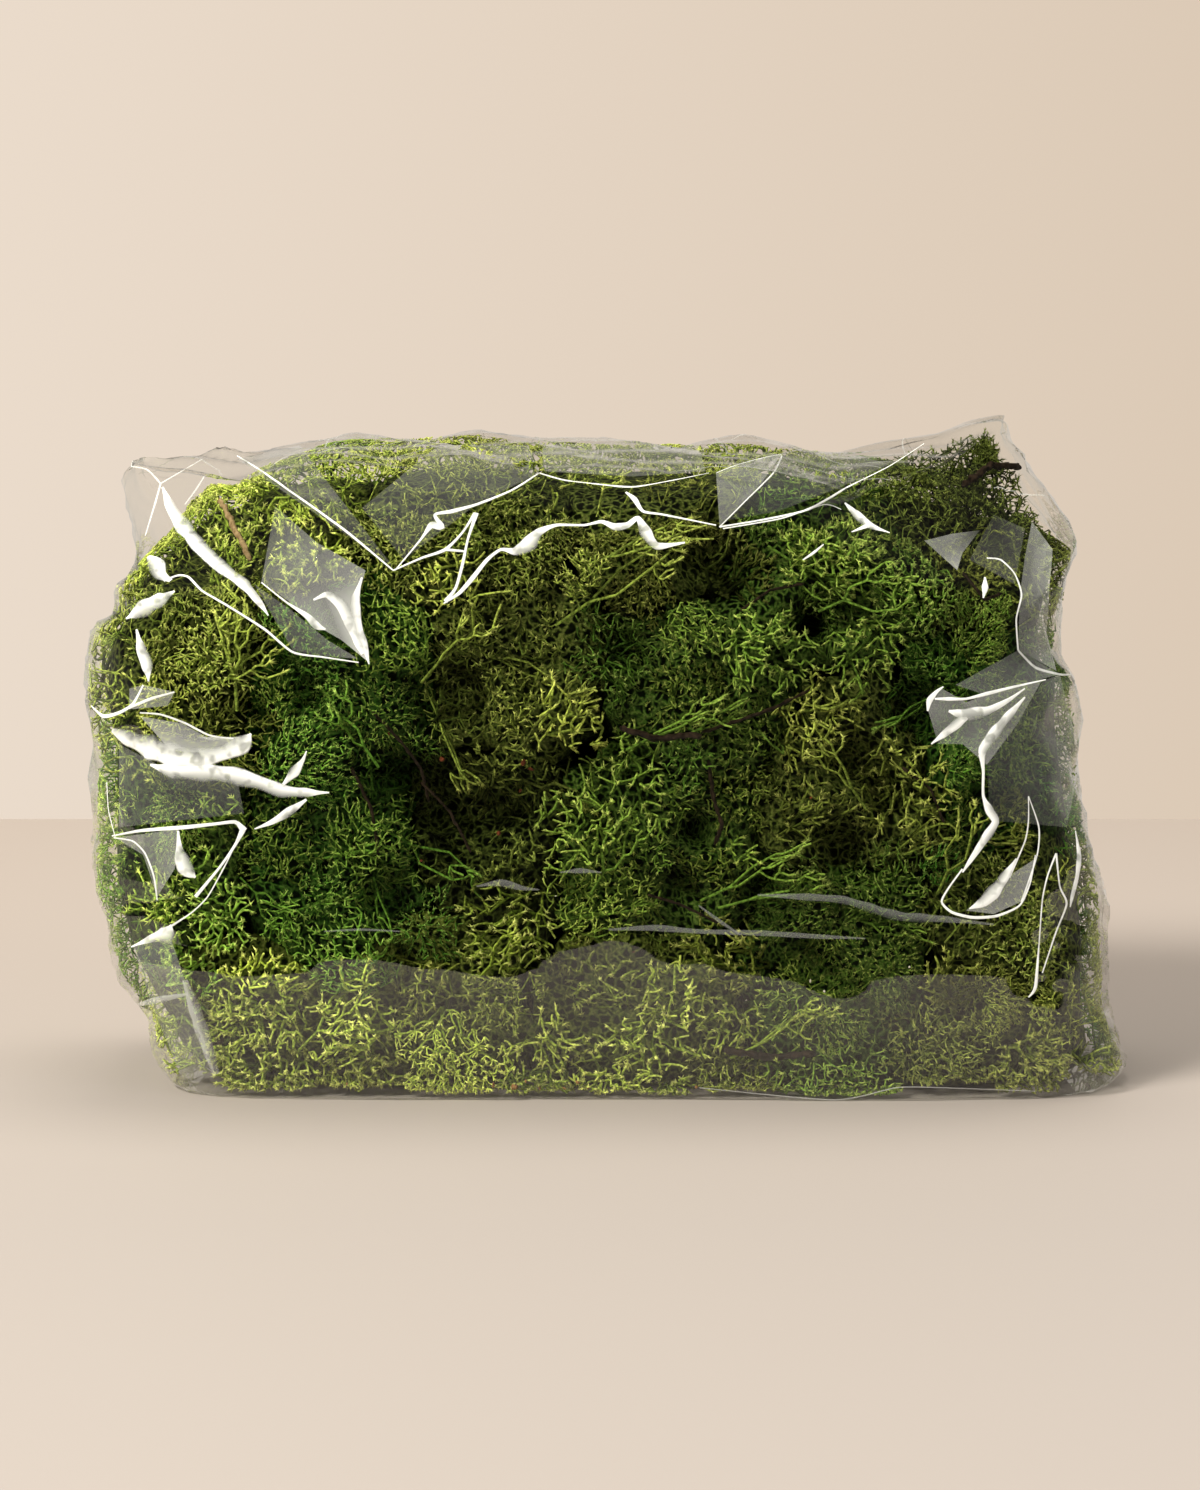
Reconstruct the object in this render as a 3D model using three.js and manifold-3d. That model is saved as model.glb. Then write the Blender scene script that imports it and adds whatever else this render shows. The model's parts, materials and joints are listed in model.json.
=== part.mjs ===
// A pack of preserved reindeer moss: tufts of branching lichen pressed together in a clear film bag
// that stands on its long edge. Millimetres, +Z up, +X to the right, the bag's front face towards -Y.
// The origin is on the ground, under the middle of the bag.
//
// The bag is a thin film shell with a punched vent at each end. Each tuft keeps to its own space:
// the region nearer to its middle than to any other tuft's, inside the film. A tuft is a small
// rough core with forked sprigs that stand out of it and press their tips against the film.
import * as THREE from "three";
import { mergeVertices } from "three/addons/utils/BufferGeometryUtils.js";
import Module from "manifold-3d";

const wasm = await Module();
wasm.setup();

// ---------------------------------------------------------------- driving dimensions

const BAG = {
  halfWidth: 150,
  height: 186, // to the film between the two top ears
  topSlope: 5, // the top film rises this much from the middle to the back
  squareness: 6, // exponent of the rounded block: larger is squarer
  sink: 16, // how much of the rounded underside is pressed flat on the ground
  wall: 0.6,
  cells: { width: 16, depth: 6, height: 10 },
};
// The bag's outline seen from the front: [height, distance from the middle].
const LEFT_EDGE = [
  [0, 126], [14, 131], [42, 144], [90, 148], [128, 151], [142, 147], [160, 134], [190, 128],
];
const RIGHT_EDGE = [
  [0, 150], [8, 152], [24, 147], [62, 147], [92, 140], [122, 137], [136, 132], [156, 135], [190, 124],
];
// The film's distance in front of and behind the middle plane: [height, distance].
const FRONT_DEPTH = [[0, 53], [12, 54.5], [38, 56], [110, 56], [150, 53], [190, 45]];
const BACK_DEPTH = [[0, 53], [30, 55], [120, 56], [160, 52], [190, 46]];
// The empty corners of film that stand up from the top: tip, and how thin they are pressed.
const EARS = {
  left: { tip: [-140, 6, 186], pinch: 0.72, outwardFrom: 0.62 },
  right: { tip: [116, 8, 197], pinch: 0.72, outwardFrom: 0.5 },
  upwardFrom: 0.66, // this and outwardFrom: shares of the half height and width where an ear begins
};
// Long soft swellings where the tufts press on the film.
const SWELLING = { height: 2.6, wavelength: 58, atSides: 0.5, onTop: 0.7 };
// A punched hole in the film at each end: its drill runs between two shares of the half width.
const VENT = { radius: 2.6, sides: 10, height: 66, back: 6, from: 0.85, to: 1.1 };

const TUFT = {
  filmGap: 0.36, // from a sprig's tip to the film
  tuftGap: 0.5, // between the spaces of two tufts
  core: 0.5, // radius of the core, as a share of the tuft's space
  coreShake: 0.18, // how far the core's corners stray from even directions, on its unit sphere
  coreUneven: 0.15, // how far their radii stray, as a share of the radius
  swerve: 0.2, // how far a sprig may lean off the middle of its sector
  shortTip: 0.9, // half of the tips reach all the way, the others at least this share of it
  longest: 46, // a tip is never further than this from its tuft's middle
  roomy: 26, // where a tuft's space reaches less than this, its sprigs are thinner in proportion
  facing: 0.45, // a sprig whose way has at least this cosine with the front's, or the back's, faces it
};
// The steps of a sprig, outwards from the core: how far along the tuft's space it comes, as a share
// of it (least and most), how thick it is there, and whether it forks in three.
const SPRIG = {
  neck: { share: [0.58, 0.61], thickness: 4.6, forks: false },
  firstFork: { share: [0.68, 0.75], thickness: 3.4, forks: true },
  secondFork: { share: [0.86, 0.91], thickness: 2.4, forks: true },
};
// Middle of each tuft [x, z], in the layer behind the front film and in the one behind it.
const FRONT_TUFTS = [
  [-124, 128], [-84, 164], [-34, 166], [18, 168], [62, 163], [101, 156], [-76, 113],
  [-20, 126], [32, 122], [-38, 80], [12, 76], [64, 98], [108, 108], [-122, 74],
  [-78, 56], [-104, 24], [-50, 26], [6, 30], [64, 42], [122, 46],
];
const BACK_TUFTS = [
  [-110, 50], [-56, 44], [0, 48], [54, 50], [110, 44],
  [-108, 128], [-58, 134], [-2, 138], [52, 132], [102, 136],
];
const LAYER_DEPTH = { front: -27, back: 25, stagger: 2.5 };

// Loose litter between the tufts: dead heather twigs and a straw. Points run along each one.
const LITTER = {
  heather_twig_right: { radius: 1.1, path: [[103, -17.9, 173.7], [112, -10.1, 179.7], [121, -7.9, 178.7]] },
  heather_twig_middle: { radius: 1.0, path: [[4, -53.6, 108], [14, -53.2, 105], [27, -54, 106]] },
  heather_twig_base: { radius: 1.1, path: [[34, -49.6, 15], [46, -49.5, 13], [60, -50.3, 14]] },
  straw_left: { radius: 0.9, path: [[-111.2, -18, 170.2], [-106.4, -26.3, 163], [-100.6, -38.5, 154]] },
};
const LITTER_CLEARANCE = 0.4;
const TWIG_SIDES = 6;
const TWIG_STEPS = 4;

const COLOURS = {
  film: 0xe9ece8,
  yellowGreen: 0x8f9f3a,
  olive: 0x66762a,
  green: 0x3f7a24,
  emerald: 0x2b6a22,
  deep: 0x3a4a1c,
  twig: 0x3b2a1e,
  straw: 0xa58a5e,
};
const FRONT_TONES = [
  "olive", "yellowGreen", "olive", "olive", "green", "deep", "emerald", "olive", "green", "deep",
  "green", "olive", "emerald", "green", "emerald", "yellowGreen", "yellowGreen", "yellowGreen", "green",
  "olive",
];
const BACK_TONES = ["olive", "green", "yellowGreen", "olive", "emerald"];

// ---------------------------------------------------------------- small helpers

// A repeatable source of numbers from 0 to 1.
function seeded(seed) {
  let state = seed >>> 0;
  return () => {
    state = (state + 0x6d2b79f5) >>> 0;
    let mixed = Math.imul(state ^ (state >>> 15), 1 | state);
    mixed = (mixed + Math.imul(mixed ^ (mixed >>> 7), 61 | mixed)) ^ mixed;
    return ((mixed ^ (mixed >>> 14)) >>> 0) / 4294967296;
  };
}

// The value at `at` of a line through [position, value] points.
function along(points, at) {
  const last = points.length - 1;
  if (at <= points[0][0]) return points[0][1];
  if (at >= points[last][0]) return points[last][1];
  const next = points.findIndex(([position]) => position > at);
  const [[p0, v0], [p1, v1]] = [points[next - 1], points[next]];
  return THREE.MathUtils.mapLinear(at, p0, p1, v0, v1);
}

// A closed three.js geometry as a manifold-3d solid.
function solidOf(geometry) {
  const bare = geometry.clone();
  bare.deleteAttribute("normal");
  bare.deleteAttribute("uv");
  const merged = mergeVertices(bare, 1e-4);
  return new wasm.Manifold(
    new wasm.Mesh({
      numProp: 3,
      vertProperties: merged.attributes.position.array,
      triVerts: new Uint32Array(merged.index.array),
    }),
  );
}

function geometryOf(solid) {
  const { numProp, numVert, vertProperties, triVerts } = solid.getMesh();
  const points = new Float32Array(numVert * 3);
  for (let i = 0; i < numVert; i++)
    points.set(vertProperties.subarray(i * numProp, i * numProp + 3), i * 3);
  const geometry = new THREE.BufferGeometry();
  geometry.setAttribute("position", new THREE.BufferAttribute(points, 3));
  geometry.setIndex(new THREE.BufferAttribute(new Uint32Array(triVerts), 1));
  const faceted = geometry.toNonIndexed();
  faceted.computeVertexNormals();
  return faceted;
}

// The largest connected body of a solid: scraps left by a cut are dropped.
function largest(solid) {
  return solid.decompose().reduce((a, b) => (a.volume() > b.volume() ? a : b));
}

// A straight round bar with few sides between two points. A top radius of 0 makes a pointed one.
function bar(from, to, bottomRadius, topRadius, sides) {
  const axis = to.clone().sub(from);
  const geometry = new THREE.CylinderGeometry(topRadius, bottomRadius, axis.length(), sides);
  geometry.applyQuaternion(
    new THREE.Quaternion().setFromUnitVectors(new THREE.Vector3(0, 1, 0), axis.clone().normalize()),
  );
  const middle = from.clone().add(to).multiplyScalar(0.5);
  return geometry.translate(middle.x, middle.y, middle.z);
}

// ---------------------------------------------------------------- the film bag

// Broad waves that bend into each other, and finer slanted ones over them.
function swelling(x, y, z) {
  const k = (2 * Math.PI) / SWELLING.wavelength;
  const broadAlong = Math.sin(k * x + 0.6 * Math.sin(0.8 * k * z) + 1.1);
  const broadUp = Math.sin(0.9 * k * z + 0.4 * Math.cos(k * x) + 0.3);
  const slantAlong = Math.sin(1.7 * k * (0.8 * x + 0.6 * z) + 2);
  const slantUp = Math.cos(1.3 * k * (0.9 * z - 0.4 * x) + 0.02 * y);
  return (SWELLING.height / 2) * (broadAlong * broadUp + 0.6 * slantAlong * slantUp);
}

// The full body of the bag, without its ears, at a point (a, b, c) of the cube from -1 to 1.
function bodyPoint(a, b, c) {
  const p = BAG.squareness;
  const size = (Math.abs(a) ** p + Math.abs(b) ** p + Math.abs(c) ** p) ** (1 / p);
  const [u, v, w] = [a / size, b / size, c / size];
  let z = ((w + 1) / 2) * (BAG.height + BAG.sink) - BAG.sink;
  z += BAG.topSlope * v * Math.max(0, w) ** 3;
  let x = u * along(u < 0 ? LEFT_EDGE : RIGHT_EDGE, z);
  let y = v * along(v < 0 ? FRONT_DEPTH : BACK_DEPTH, z);
  const swell = swelling(x, y, z);
  x += swell * SWELLING.atSides * u ** 5;
  y += swell * v * Math.abs(v);
  z += swell * SWELLING.onTop * Math.max(0, w) ** 5;
  return new THREE.Vector3(x, y, Math.max(0, z));
}

// The film's outer surface: the body with its two empty top corners drawn out into ears.
function filmPoint(a, b, c) {
  const point = bodyPoint(a, b, c);
  const corner = 2 ** (-1 / BAG.squareness);
  for (const [side, ear] of [[-1, EARS.left], [1, EARS.right]]) {
    const outward = THREE.MathUtils.smoothstep(side * a, ear.outwardFrom, 1);
    const upward = THREE.MathUtils.smoothstep(c, EARS.upwardFrom, 1);
    const pull = outward * upward;
    const [tipX, tipY, tipZ] = ear.tip;
    const edge = along(side < 0 ? LEFT_EDGE : RIGHT_EDGE, BAG.height);
    point.x += pull * (tipX - side * corner * edge);
    point.z += pull * (tipZ - ((corner + 1) / 2) * BAG.height);
    point.y = THREE.MathUtils.lerp(point.y, tipY + (point.y - tipY) * (1 - ear.pinch), pull ** 0.6);
  }
  return point;
}

// A closed grid over the six faces of the cube, each vertex placed by `place(a, b, c)`.
function cubeGrid(place, { width, depth, height }) {
  const positions = [];
  const face = (rows, columns, at) => {
    for (let i = 0; i < rows; i++)
      for (let j = 0; j < columns; j++) {
        const corners = [[i, j], [i + 1, j], [i + 1, j + 1], [i, j + 1]].map(([s, t]) =>
          place(...at((2 * s) / rows - 1, (2 * t) / columns - 1)),
        );
        // The shorter diagonal, so that folds stay crisp.
        const [p, q, r, s] = corners;
        const triangles = p.distanceTo(r) < q.distanceTo(s) ? [p, q, r, p, r, s] : [q, r, s, q, s, p];
        triangles.forEach((corner) => positions.push(corner.x, corner.y, corner.z));
      }
  };
  face(width, height, (s, t) => [s, -1, t]);
  face(height, width, (s, t) => [t, 1, s]);
  face(height, depth, (s, t) => [-1, t, s]);
  face(depth, height, (s, t) => [1, s, t]);
  face(depth, width, (s, t) => [t, s, -1]);
  face(width, depth, (s, t) => [s, t, 1]);
  const loose = new THREE.BufferGeometry();
  loose.setAttribute("position", new THREE.Float32BufferAttribute(positions, 3));
  return mergeVertices(loose, 1e-3);
}

// A copy of a closed geometry with each vertex moved inwards along its normal.
function inset(geometry, distance) {
  const copy = geometry.clone();
  copy.computeVertexNormals();
  const { position, normal } = copy.attributes;
  for (let i = 0; i < position.count; i++)
    position.setXYZ(
      i,
      position.getX(i) - distance * normal.getX(i),
      position.getY(i) - distance * normal.getY(i),
      position.getZ(i) - distance * normal.getZ(i),
    );
  copy.deleteAttribute("normal");
  return copy;
}

const outerFilm = cubeGrid(filmPoint, BAG.cells);
outerFilm.computeBoundingBox();
const filmMiddle = outerFilm.boundingBox.getCenter(new THREE.Vector3());
outerFilm.translate(-filmMiddle.x, -filmMiddle.y, 0);
const innerFilm = inset(outerFilm, BAG.wall);

function ventAt(side) {
  const start = new THREE.Vector3(side * BAG.halfWidth * VENT.from, VENT.back, VENT.height);
  const end = new THREE.Vector3(side * BAG.halfWidth * VENT.to, VENT.back, VENT.height);
  return solidOf(bar(start, end, VENT.radius, VENT.radius, VENT.sides));
}

const film = solidOf(outerFilm).subtract(solidOf(innerFilm)).subtract(ventAt(-1)).subtract(ventAt(1));

// ---------------------------------------------------------------- the tufts

// The moss lies inside the film and stays out of its ears.
const earless = cubeGrid(bodyPoint, BAG.cells).translate(-filmMiddle.x, -filmMiddle.y, 0);
const limits = [outerFilm, earless].map((limit) => inset(limit, BAG.wall + TUFT.filmGap));
const mossRoom = solidOf(limits[0]);
const bothSides = new THREE.MeshBasicMaterial({ side: THREE.DoubleSide });
const limitMeshes = limits.map((limit) => new THREE.Mesh(limit, bothSides));

function tuftMiddles(places, layer) {
  return places.map(([x, z], i) => {
    const stagger = i % 2 ? LAYER_DEPTH.stagger : -LAYER_DEPTH.stagger;
    return new THREE.Vector3(x, layer + stagger, z);
  });
}

// How far a tuft's space reaches from its middle in a direction, and whether the film ends it there.
function spaceOf(middle, neighbours) {
  const ray = new THREE.Raycaster();
  return (direction) => {
    ray.set(middle, direction);
    const hit = ray.intersectObjects(limitMeshes)[0];
    const toFilm = hit ? hit.distance : 0;
    let reach = Math.min(TUFT.longest, toFilm);
    for (const other of neighbours) {
      const apart = other.clone().sub(middle);
      const half = (apart.length() - TUFT.tuftGap) / 2;
      const cosine = apart.normalize().dot(direction);
      if (cosine > 0) reach = Math.min(reach, half / cosine);
    }
    return { reach, atFilm: reach === toFilm };
  };
}

// The tuft's mesh is grown face by face. A face is three corners, in order seen from outside, and
// it owns the sector of directions between its corners' own directions, which its sprig keeps to.
function growSprig(face, sector, steps, grow) {
  const { triangles, centre, reach, random } = grow;
  const between = (least, most) => least + (most - least) * random();
  const way = new THREE.Vector3();
  sector.forEach((corner) => way.addScaledVector(corner, between(1 - TUFT.swerve, 1 + TUFT.swerve)));
  way.normalize();
  if (!steps.length) {
    const length = reach(way) * (random() < 0.5 ? 1 : between(TUFT.shortTip, 1));
    const tip = centre.clone().addScaledVector(way, length);
    face.forEach((corner, i) => triangles.push(corner, face[(i + 1) % 3], tip));
    return;
  }
  const [{ share, thickness, forks }, ...later] = steps;
  // The least reach here and in the sectors of the three branches, so that none turns back.
  const branchWays = sector.map((corner, i) =>
    corner.clone().add(sector[(i + 1) % 3]).add(way).normalize(),
  );
  const room = Math.min(reach(way), ...branchWays.map(reach));
  const radius = (thickness / 2) * Math.min(1, room / TUFT.roomy);
  const height = room * between(...share);
  const knot = centre.clone().addScaledVector(way, height);
  const middle = face[0].clone().add(face[1]).add(face[2]).divideScalar(3);
  const axis = knot.clone().sub(middle).normalize();
  const ring = face.map((corner) =>
    corner.clone().sub(middle).projectOnPlane(axis).normalize().multiplyScalar(radius).add(knot),
  );
  const crown = knot.clone().addScaledVector(way, Math.min(radius, (room - height) / 2));
  face.forEach((corner, i) => {
    const next = (i + 1) % 3;
    triangles.push(corner, face[next], ring[next], corner, ring[next], ring[i]);
    if (forks) growSprig([ring[i], ring[next], crown], [sector[i], sector[next], way], later, grow);
  });
  if (!forks) growSprig(ring, sector, later, grow);
}

// Twelve core corners in directions spread by an icosahedron, turned and shaken, and its twenty faces.
function coreFaces(random) {
  const shape = new THREE.IcosahedronGeometry(1, 0).deleteAttribute("normal").deleteAttribute("uv");
  const merged = mergeVertices(shape, 1e-4);
  const turn = new THREE.Quaternion();
  turn.set(random() - 0.5, random() - 0.5, random() - 0.5, random() - 0.5).normalize();
  const shake = () => (2 * random() - 1) * TUFT.coreShake;
  const corners = Array.from({ length: merged.attributes.position.count }, (_, i) =>
    new THREE.Vector3()
      .fromBufferAttribute(merged.attributes.position, i)
      .add(new THREE.Vector3(shake(), shake(), shake()))
      .normalize()
      .applyQuaternion(turn),
  );
  const order = Array.from(merged.index.array);
  const faceAt = (_, i) => order.slice(3 * i, 3 * i + 3);
  return { corners, faces: Array.from({ length: order.length / 3 }, faceAt) };
}

// Sprigs that face the front or the back fork twice, those at the film beside them once, and those
// deep in the pack stay plain.
function sprigSteps(facing, atFilm) {
  if (facing > TUFT.facing) return [SPRIG.neck, SPRIG.firstFork, SPRIG.secondFork];
  return facing > 0 || atFilm ? [SPRIG.neck, SPRIG.firstFork] : [];
}

function tuft(middle, neighbours, outward, random) {
  const space = spaceOf(middle, neighbours);
  const { corners, faces } = coreFaces(random);
  const sprigs = faces.map((face) => {
    const sector = face.map((corner) => corners[corner]);
    const way = sector[0].clone().add(sector[1]).add(sector[2]).normalize();
    return { face, sector, facing: way.y * outward, ...space(way) };
  });
  // A corner of the core lies lower than the necks of all the sprigs round it.
  const bumps = corners.map((way, i) => {
    const around = sprigs.filter(({ face }) => face.includes(i)).map(({ reach }) => reach);
    const uneven = 1 + TUFT.coreUneven * (2 * random() - 1);
    const radius = TUFT.core * Math.min(space(way).reach, ...around) * uneven;
    return middle.clone().addScaledVector(way, radius);
  });
  const grow = { triangles: [], centre: middle, reach: (way) => space(way).reach, random };
  for (const { face, sector, facing, atFilm } of sprigs)
    growSprig(face.map((corner) => bumps[corner]), sector, sprigSteps(facing, atFilm), grow);
  return solidOf(new THREE.BufferGeometry().setFromPoints(grow.triangles));
}

// ---------------------------------------------------------------- the litter

// A rod along a smooth curve through the path's points, grown on all sides by `extra`.
function twigSolid({ path, radius }, extra) {
  const points = path.map((point) => new THREE.Vector3(...point));
  const [start, end] = [points[0], points[points.length - 1]];
  const overrun = extra * 1.5;
  start.addScaledVector(start.clone().sub(points[1]).normalize(), overrun);
  end.addScaledVector(end.clone().sub(points[points.length - 2]).normalize(), overrun);
  const section = new THREE.Shape(
    Array.from({ length: TWIG_SIDES }, (_, i) => {
      const turn = (2 * Math.PI * i) / TWIG_SIDES;
      return new THREE.Vector2(Math.cos(turn), Math.sin(turn)).multiplyScalar(radius + extra);
    }),
  );
  const rod = new THREE.ExtrudeGeometry(section, {
    extrudePath: new THREE.CatmullRomCurve3(points),
    steps: TWIG_STEPS,
    bevelEnabled: false,
  });
  return solidOf(rod);
}

// ---------------------------------------------------------------- the pack

function part(name, solid, colour, surface) {
  const material = new THREE.MeshStandardMaterial({ color: colour, metalness: 0, ...surface });
  const mesh = new THREE.Mesh(geometryOf(solid), material);
  mesh.name = name;
  return mesh;
}

const pack = new THREE.Group();
pack.name = "reindeer_moss_pack";
pack.add(part("film_bag", film, COLOURS.film, { roughness: 0.05, transparent: true, opacity: 0.2 }));

const twigSpaces = Object.values(LITTER).map((twig) => twigSolid(twig, LITTER_CLEARANCE));
const frontMiddles = tuftMiddles(FRONT_TUFTS, LAYER_DEPTH.front);
const backMiddles = tuftMiddles(BACK_TUFTS, LAYER_DEPTH.back);
const middles = [...frontMiddles, ...backMiddles];
middles.forEach((middle, i) => {
  const inFront = i < frontMiddles.length;
  const neighbours = middles.filter((other) => other !== middle);
  const grown = tuft(middle, neighbours, inFront ? -1 : 1, seeded(101 + i));
  const clear = twigSpaces.reduce((solid, space) => solid.subtract(space), grown.intersect(mossRoom));
  const tone = inFront ? FRONT_TONES[i] : BACK_TONES[i % BACK_TONES.length];
  const name = `moss_tuft_${String(i + 1).padStart(2, "0")}`;
  pack.add(part(name, largest(clear), COLOURS[tone], { roughness: 0.9 }));
});

for (const [name, twig] of Object.entries(LITTER)) {
  const colour = name.startsWith("straw") ? COLOURS.straw : COLOURS.twig;
  pack.add(part(name, twigSolid(twig, 0), colour, { roughness: 0.8 }));
}

export default pack;
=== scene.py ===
"""A pack of preserved reindeer moss in a crisp clear film bag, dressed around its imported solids.

Lengths are millimetres until a mesh is made, and metres from there on. +X is to the right, -Y is
the front film, and +Z is up from the ground that the bag stands on.
"""

import json
import math

import bpy
import numpy as np
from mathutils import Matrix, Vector
from mathutils.bvhtree import BVHTree


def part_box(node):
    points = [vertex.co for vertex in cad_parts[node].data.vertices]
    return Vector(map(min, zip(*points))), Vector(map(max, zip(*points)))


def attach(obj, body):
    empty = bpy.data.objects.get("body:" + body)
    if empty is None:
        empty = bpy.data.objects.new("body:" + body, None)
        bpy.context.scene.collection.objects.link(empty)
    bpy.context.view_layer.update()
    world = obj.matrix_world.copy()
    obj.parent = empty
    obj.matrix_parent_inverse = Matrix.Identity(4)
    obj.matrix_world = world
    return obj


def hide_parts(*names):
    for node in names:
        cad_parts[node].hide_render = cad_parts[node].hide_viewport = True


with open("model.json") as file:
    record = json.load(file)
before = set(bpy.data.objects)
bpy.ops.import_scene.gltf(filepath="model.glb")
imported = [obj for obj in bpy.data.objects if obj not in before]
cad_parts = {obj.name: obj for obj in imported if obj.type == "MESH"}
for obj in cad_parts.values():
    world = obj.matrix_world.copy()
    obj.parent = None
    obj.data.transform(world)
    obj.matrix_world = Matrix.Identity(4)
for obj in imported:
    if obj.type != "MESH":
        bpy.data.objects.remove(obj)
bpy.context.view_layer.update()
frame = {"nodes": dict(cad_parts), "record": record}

MM = 0.001
SLOT_OF = {part["node"]: part["material_slot"] for part in frame["record"]["subparts"]}

# ------------------------------------------------------------------ the bag's form, as the solids have it

# The bag is bent from a rounded block. Its foot reaches below the ground and is pressed flat there.
BAG_HEIGHT = 186
BAG_SINK = 16
BAG_TOP_SLOPE = 5  # how much higher the top is at the back film than midway
BAG_SQUARENESS = 6  # the power of the rounded block: the higher, the squarer
# Height, and distance from the middle, of the bag's outline and of its two faces.
LEFT_EDGE = (
    (0, 138), (8, 138), (20, 138), (36, 145), (58, 150), (68, 151), (94, 150), (123, 152.5), (134, 150),
    (139, 144), (147, 145), (154, 140), (161, 136), (176, 133.5), (190, 131),
)
RIGHT_EDGE = (
    (0, 157), (6, 159), (14, 152), (24, 146), (36, 145), (56, 143), (66, 142), (78, 138.5), (104, 135),
    (119, 135), (126, 128.5), (136, 129.5), (148, 134), (156, 138), (160, 133.5), (166, 124.5),
    (172, 121), (181, 130), (190, 129),
)
FRONT_DEPTH = ((0, 56.5), (12, 57), (38, 58), (60, 57), (110, 55.2), (150, 53), (190, 45))
BACK_DEPTH = ((0, 53), (30, 55), (120, 56), (160, 52), (190, 46))
# How far the film's top stands above the even slope of the block: x, height.
TOP_LINE = (
    (-140, -5.5), (-128, -3), (-119, -1.8), (-111, -8), (-103, -4.6), (-89, -2.4), (-41, 0.2),
    (-18, -2.9), (30, -2.8), (60, -4.5), (81, -6.7), (94, -9), (105, -6), (111, -3.5), (120, -1.7),
)
# The empty top corners of the film: where the tip is, how much of the bag's depth is drawn away, and
# where the ear begins, as a share of the way from the middle of the bag to its end or its top.
EARS = (
    {"side": -1, "tip": (-140, 6, 186), "pinch": 0.72, "outward_from": 0.62},
    {"side": 1, "tip": (122, 6, 195.5), "pinch": 0.6, "outward_from": 0.5},
)
EAR_UPWARD_FROM = 0.66
# Broad swellings of the film over the moss, full at the back film and only a share of that elsewhere.
SWELL_HEIGHT = 2.6
SWELL_WAVELENGTH = 58
SWELL_AT_SIDES = 0.5
SWELL_ON_TOP = 0.7
SWELL_AT_FRONT = 0.25
# The front film turns under along this line: x, height.
TURN_UNDER = (
    (-150, 33), (-121, 35), (-109, 35), (-96, 38), (-86, 39), (-84, 43), (-67, 43), (-52, 40), (-46, 41),
    (-35, 37), (-25, 35), (-22, 51), (-19, 47), (-9, 47), (1, 50), (19, 45), (28, 43), (33, 39), (45, 36),
    (52, 33), (64, 29), (73, 30), (94, 25), (108, 28), (120, 23), (150, 25),
)
TURN_UNDER_SLOPE = 0.095  # how far it tips back for each millimetre below that line
# How far the solids' film was moved when the bag was centred on its origin.
SHIFT = np.array([1.6, 0.63, 0])
HALF_SIZE = np.array([148, 56, 94])  # of the bag's body, for turning a gap into a share of it
# The seeds of the random draws.
MIDDLES_SEED = 11
MOSS_SEED = 4162
FILM_SEED = 29
LITTER_SEED = 77

# ------------------------------------------------------------------ small helpers


def along(curve, at):
    """The value of a curve given by its points, at one place or at many."""
    places = [place for place, _ in curve]
    values = [value for _, value in curve]
    return np.interp(at, places, values)


def smoothstep(value, low, high):
    """0 below low and 1 above high, with a soft curve between them."""
    share = np.clip((value - low) / (high - low), 0, 1)
    return share * share * (3 - 2 * share)


def unit(vectors):
    """The same directions, each with a length of 1."""
    length = np.linalg.norm(vectors, axis=-1, keepdims=True)
    return vectors / np.maximum(length, 1e-9)


def linear(hex_colour):
    """An sRGB hex value as linear red, green, blue and alpha."""
    parts = [int(hex_colour[i : i + 2], 16) / 255 for i in (1, 3, 5)]
    bent = [c / 12.92 if c <= 0.04045 else ((c + 0.055) / 1.055) ** 2.4 for c in parts]
    return (*bent, 1.0)


def new_mesh(name, points, faces, shades=None, smooth=True):
    """A mesh object from points in millimetres. Faces with unequal numbers of corners come as a list.
    shades gives each point four values from 0 to 1."""
    mesh = bpy.data.meshes.new(name)
    if isinstance(faces, list):
        corners = np.array([corner for face in faces for corner in face], np.int32)
        sizes = np.array([len(face) for face in faces])
    else:
        corners = np.ascontiguousarray(faces, np.int32).ravel()
        sizes = np.full(len(faces), faces.shape[1])
    mesh.vertices.add(len(points))
    mesh.vertices.foreach_set("co", (np.asarray(points, np.float32) * MM).ravel())
    mesh.loops.add(len(corners))
    mesh.loops.foreach_set("vertex_index", corners)
    mesh.polygons.add(len(sizes))
    starts = np.concatenate([[0], np.cumsum(sizes)[:-1]]).astype(np.int32)
    mesh.polygons.foreach_set("loop_start", starts)
    mesh.update(calc_edges=True)
    mesh.polygons.foreach_set("use_smooth", np.full(len(sizes), smooth))
    if shades is not None:
        attribute = mesh.color_attributes.new("shade", "FLOAT_COLOR", "POINT")
        attribute.data.foreach_set("color", np.asarray(shades, np.float32).ravel())
    mesh.validate()
    piece = bpy.data.objects.new(name, mesh)
    bpy.context.scene.collection.objects.link(piece)
    return piece


def join(parts):
    """The points, the faces and, where the parts have them, the shades of several parts as one."""
    counts = np.cumsum([0] + [len(part[0]) for part in parts])
    points = np.concatenate([part[0] for part in parts])
    faces = np.concatenate([part[1] + first for part, first in zip(parts, counts)])
    shades = [part[2] for part in parts if len(part) > 2]
    return points, faces, np.concatenate(shades) if shades else None


def dress(piece, material, slot, *nodes):
    """Gives a piece its material, and says what it rides on and which solids it stands for."""
    piece.data.materials.append(material)
    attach(piece, "root")
    if nodes:
        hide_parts(*nodes)


# ------------------------------------------------------------------ materials


def new_material(name):
    """An empty material, ready for its nodes."""
    material = bpy.data.materials.new(name)
    material.use_nodes = True
    material.node_tree.nodes.clear()
    return material


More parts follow.
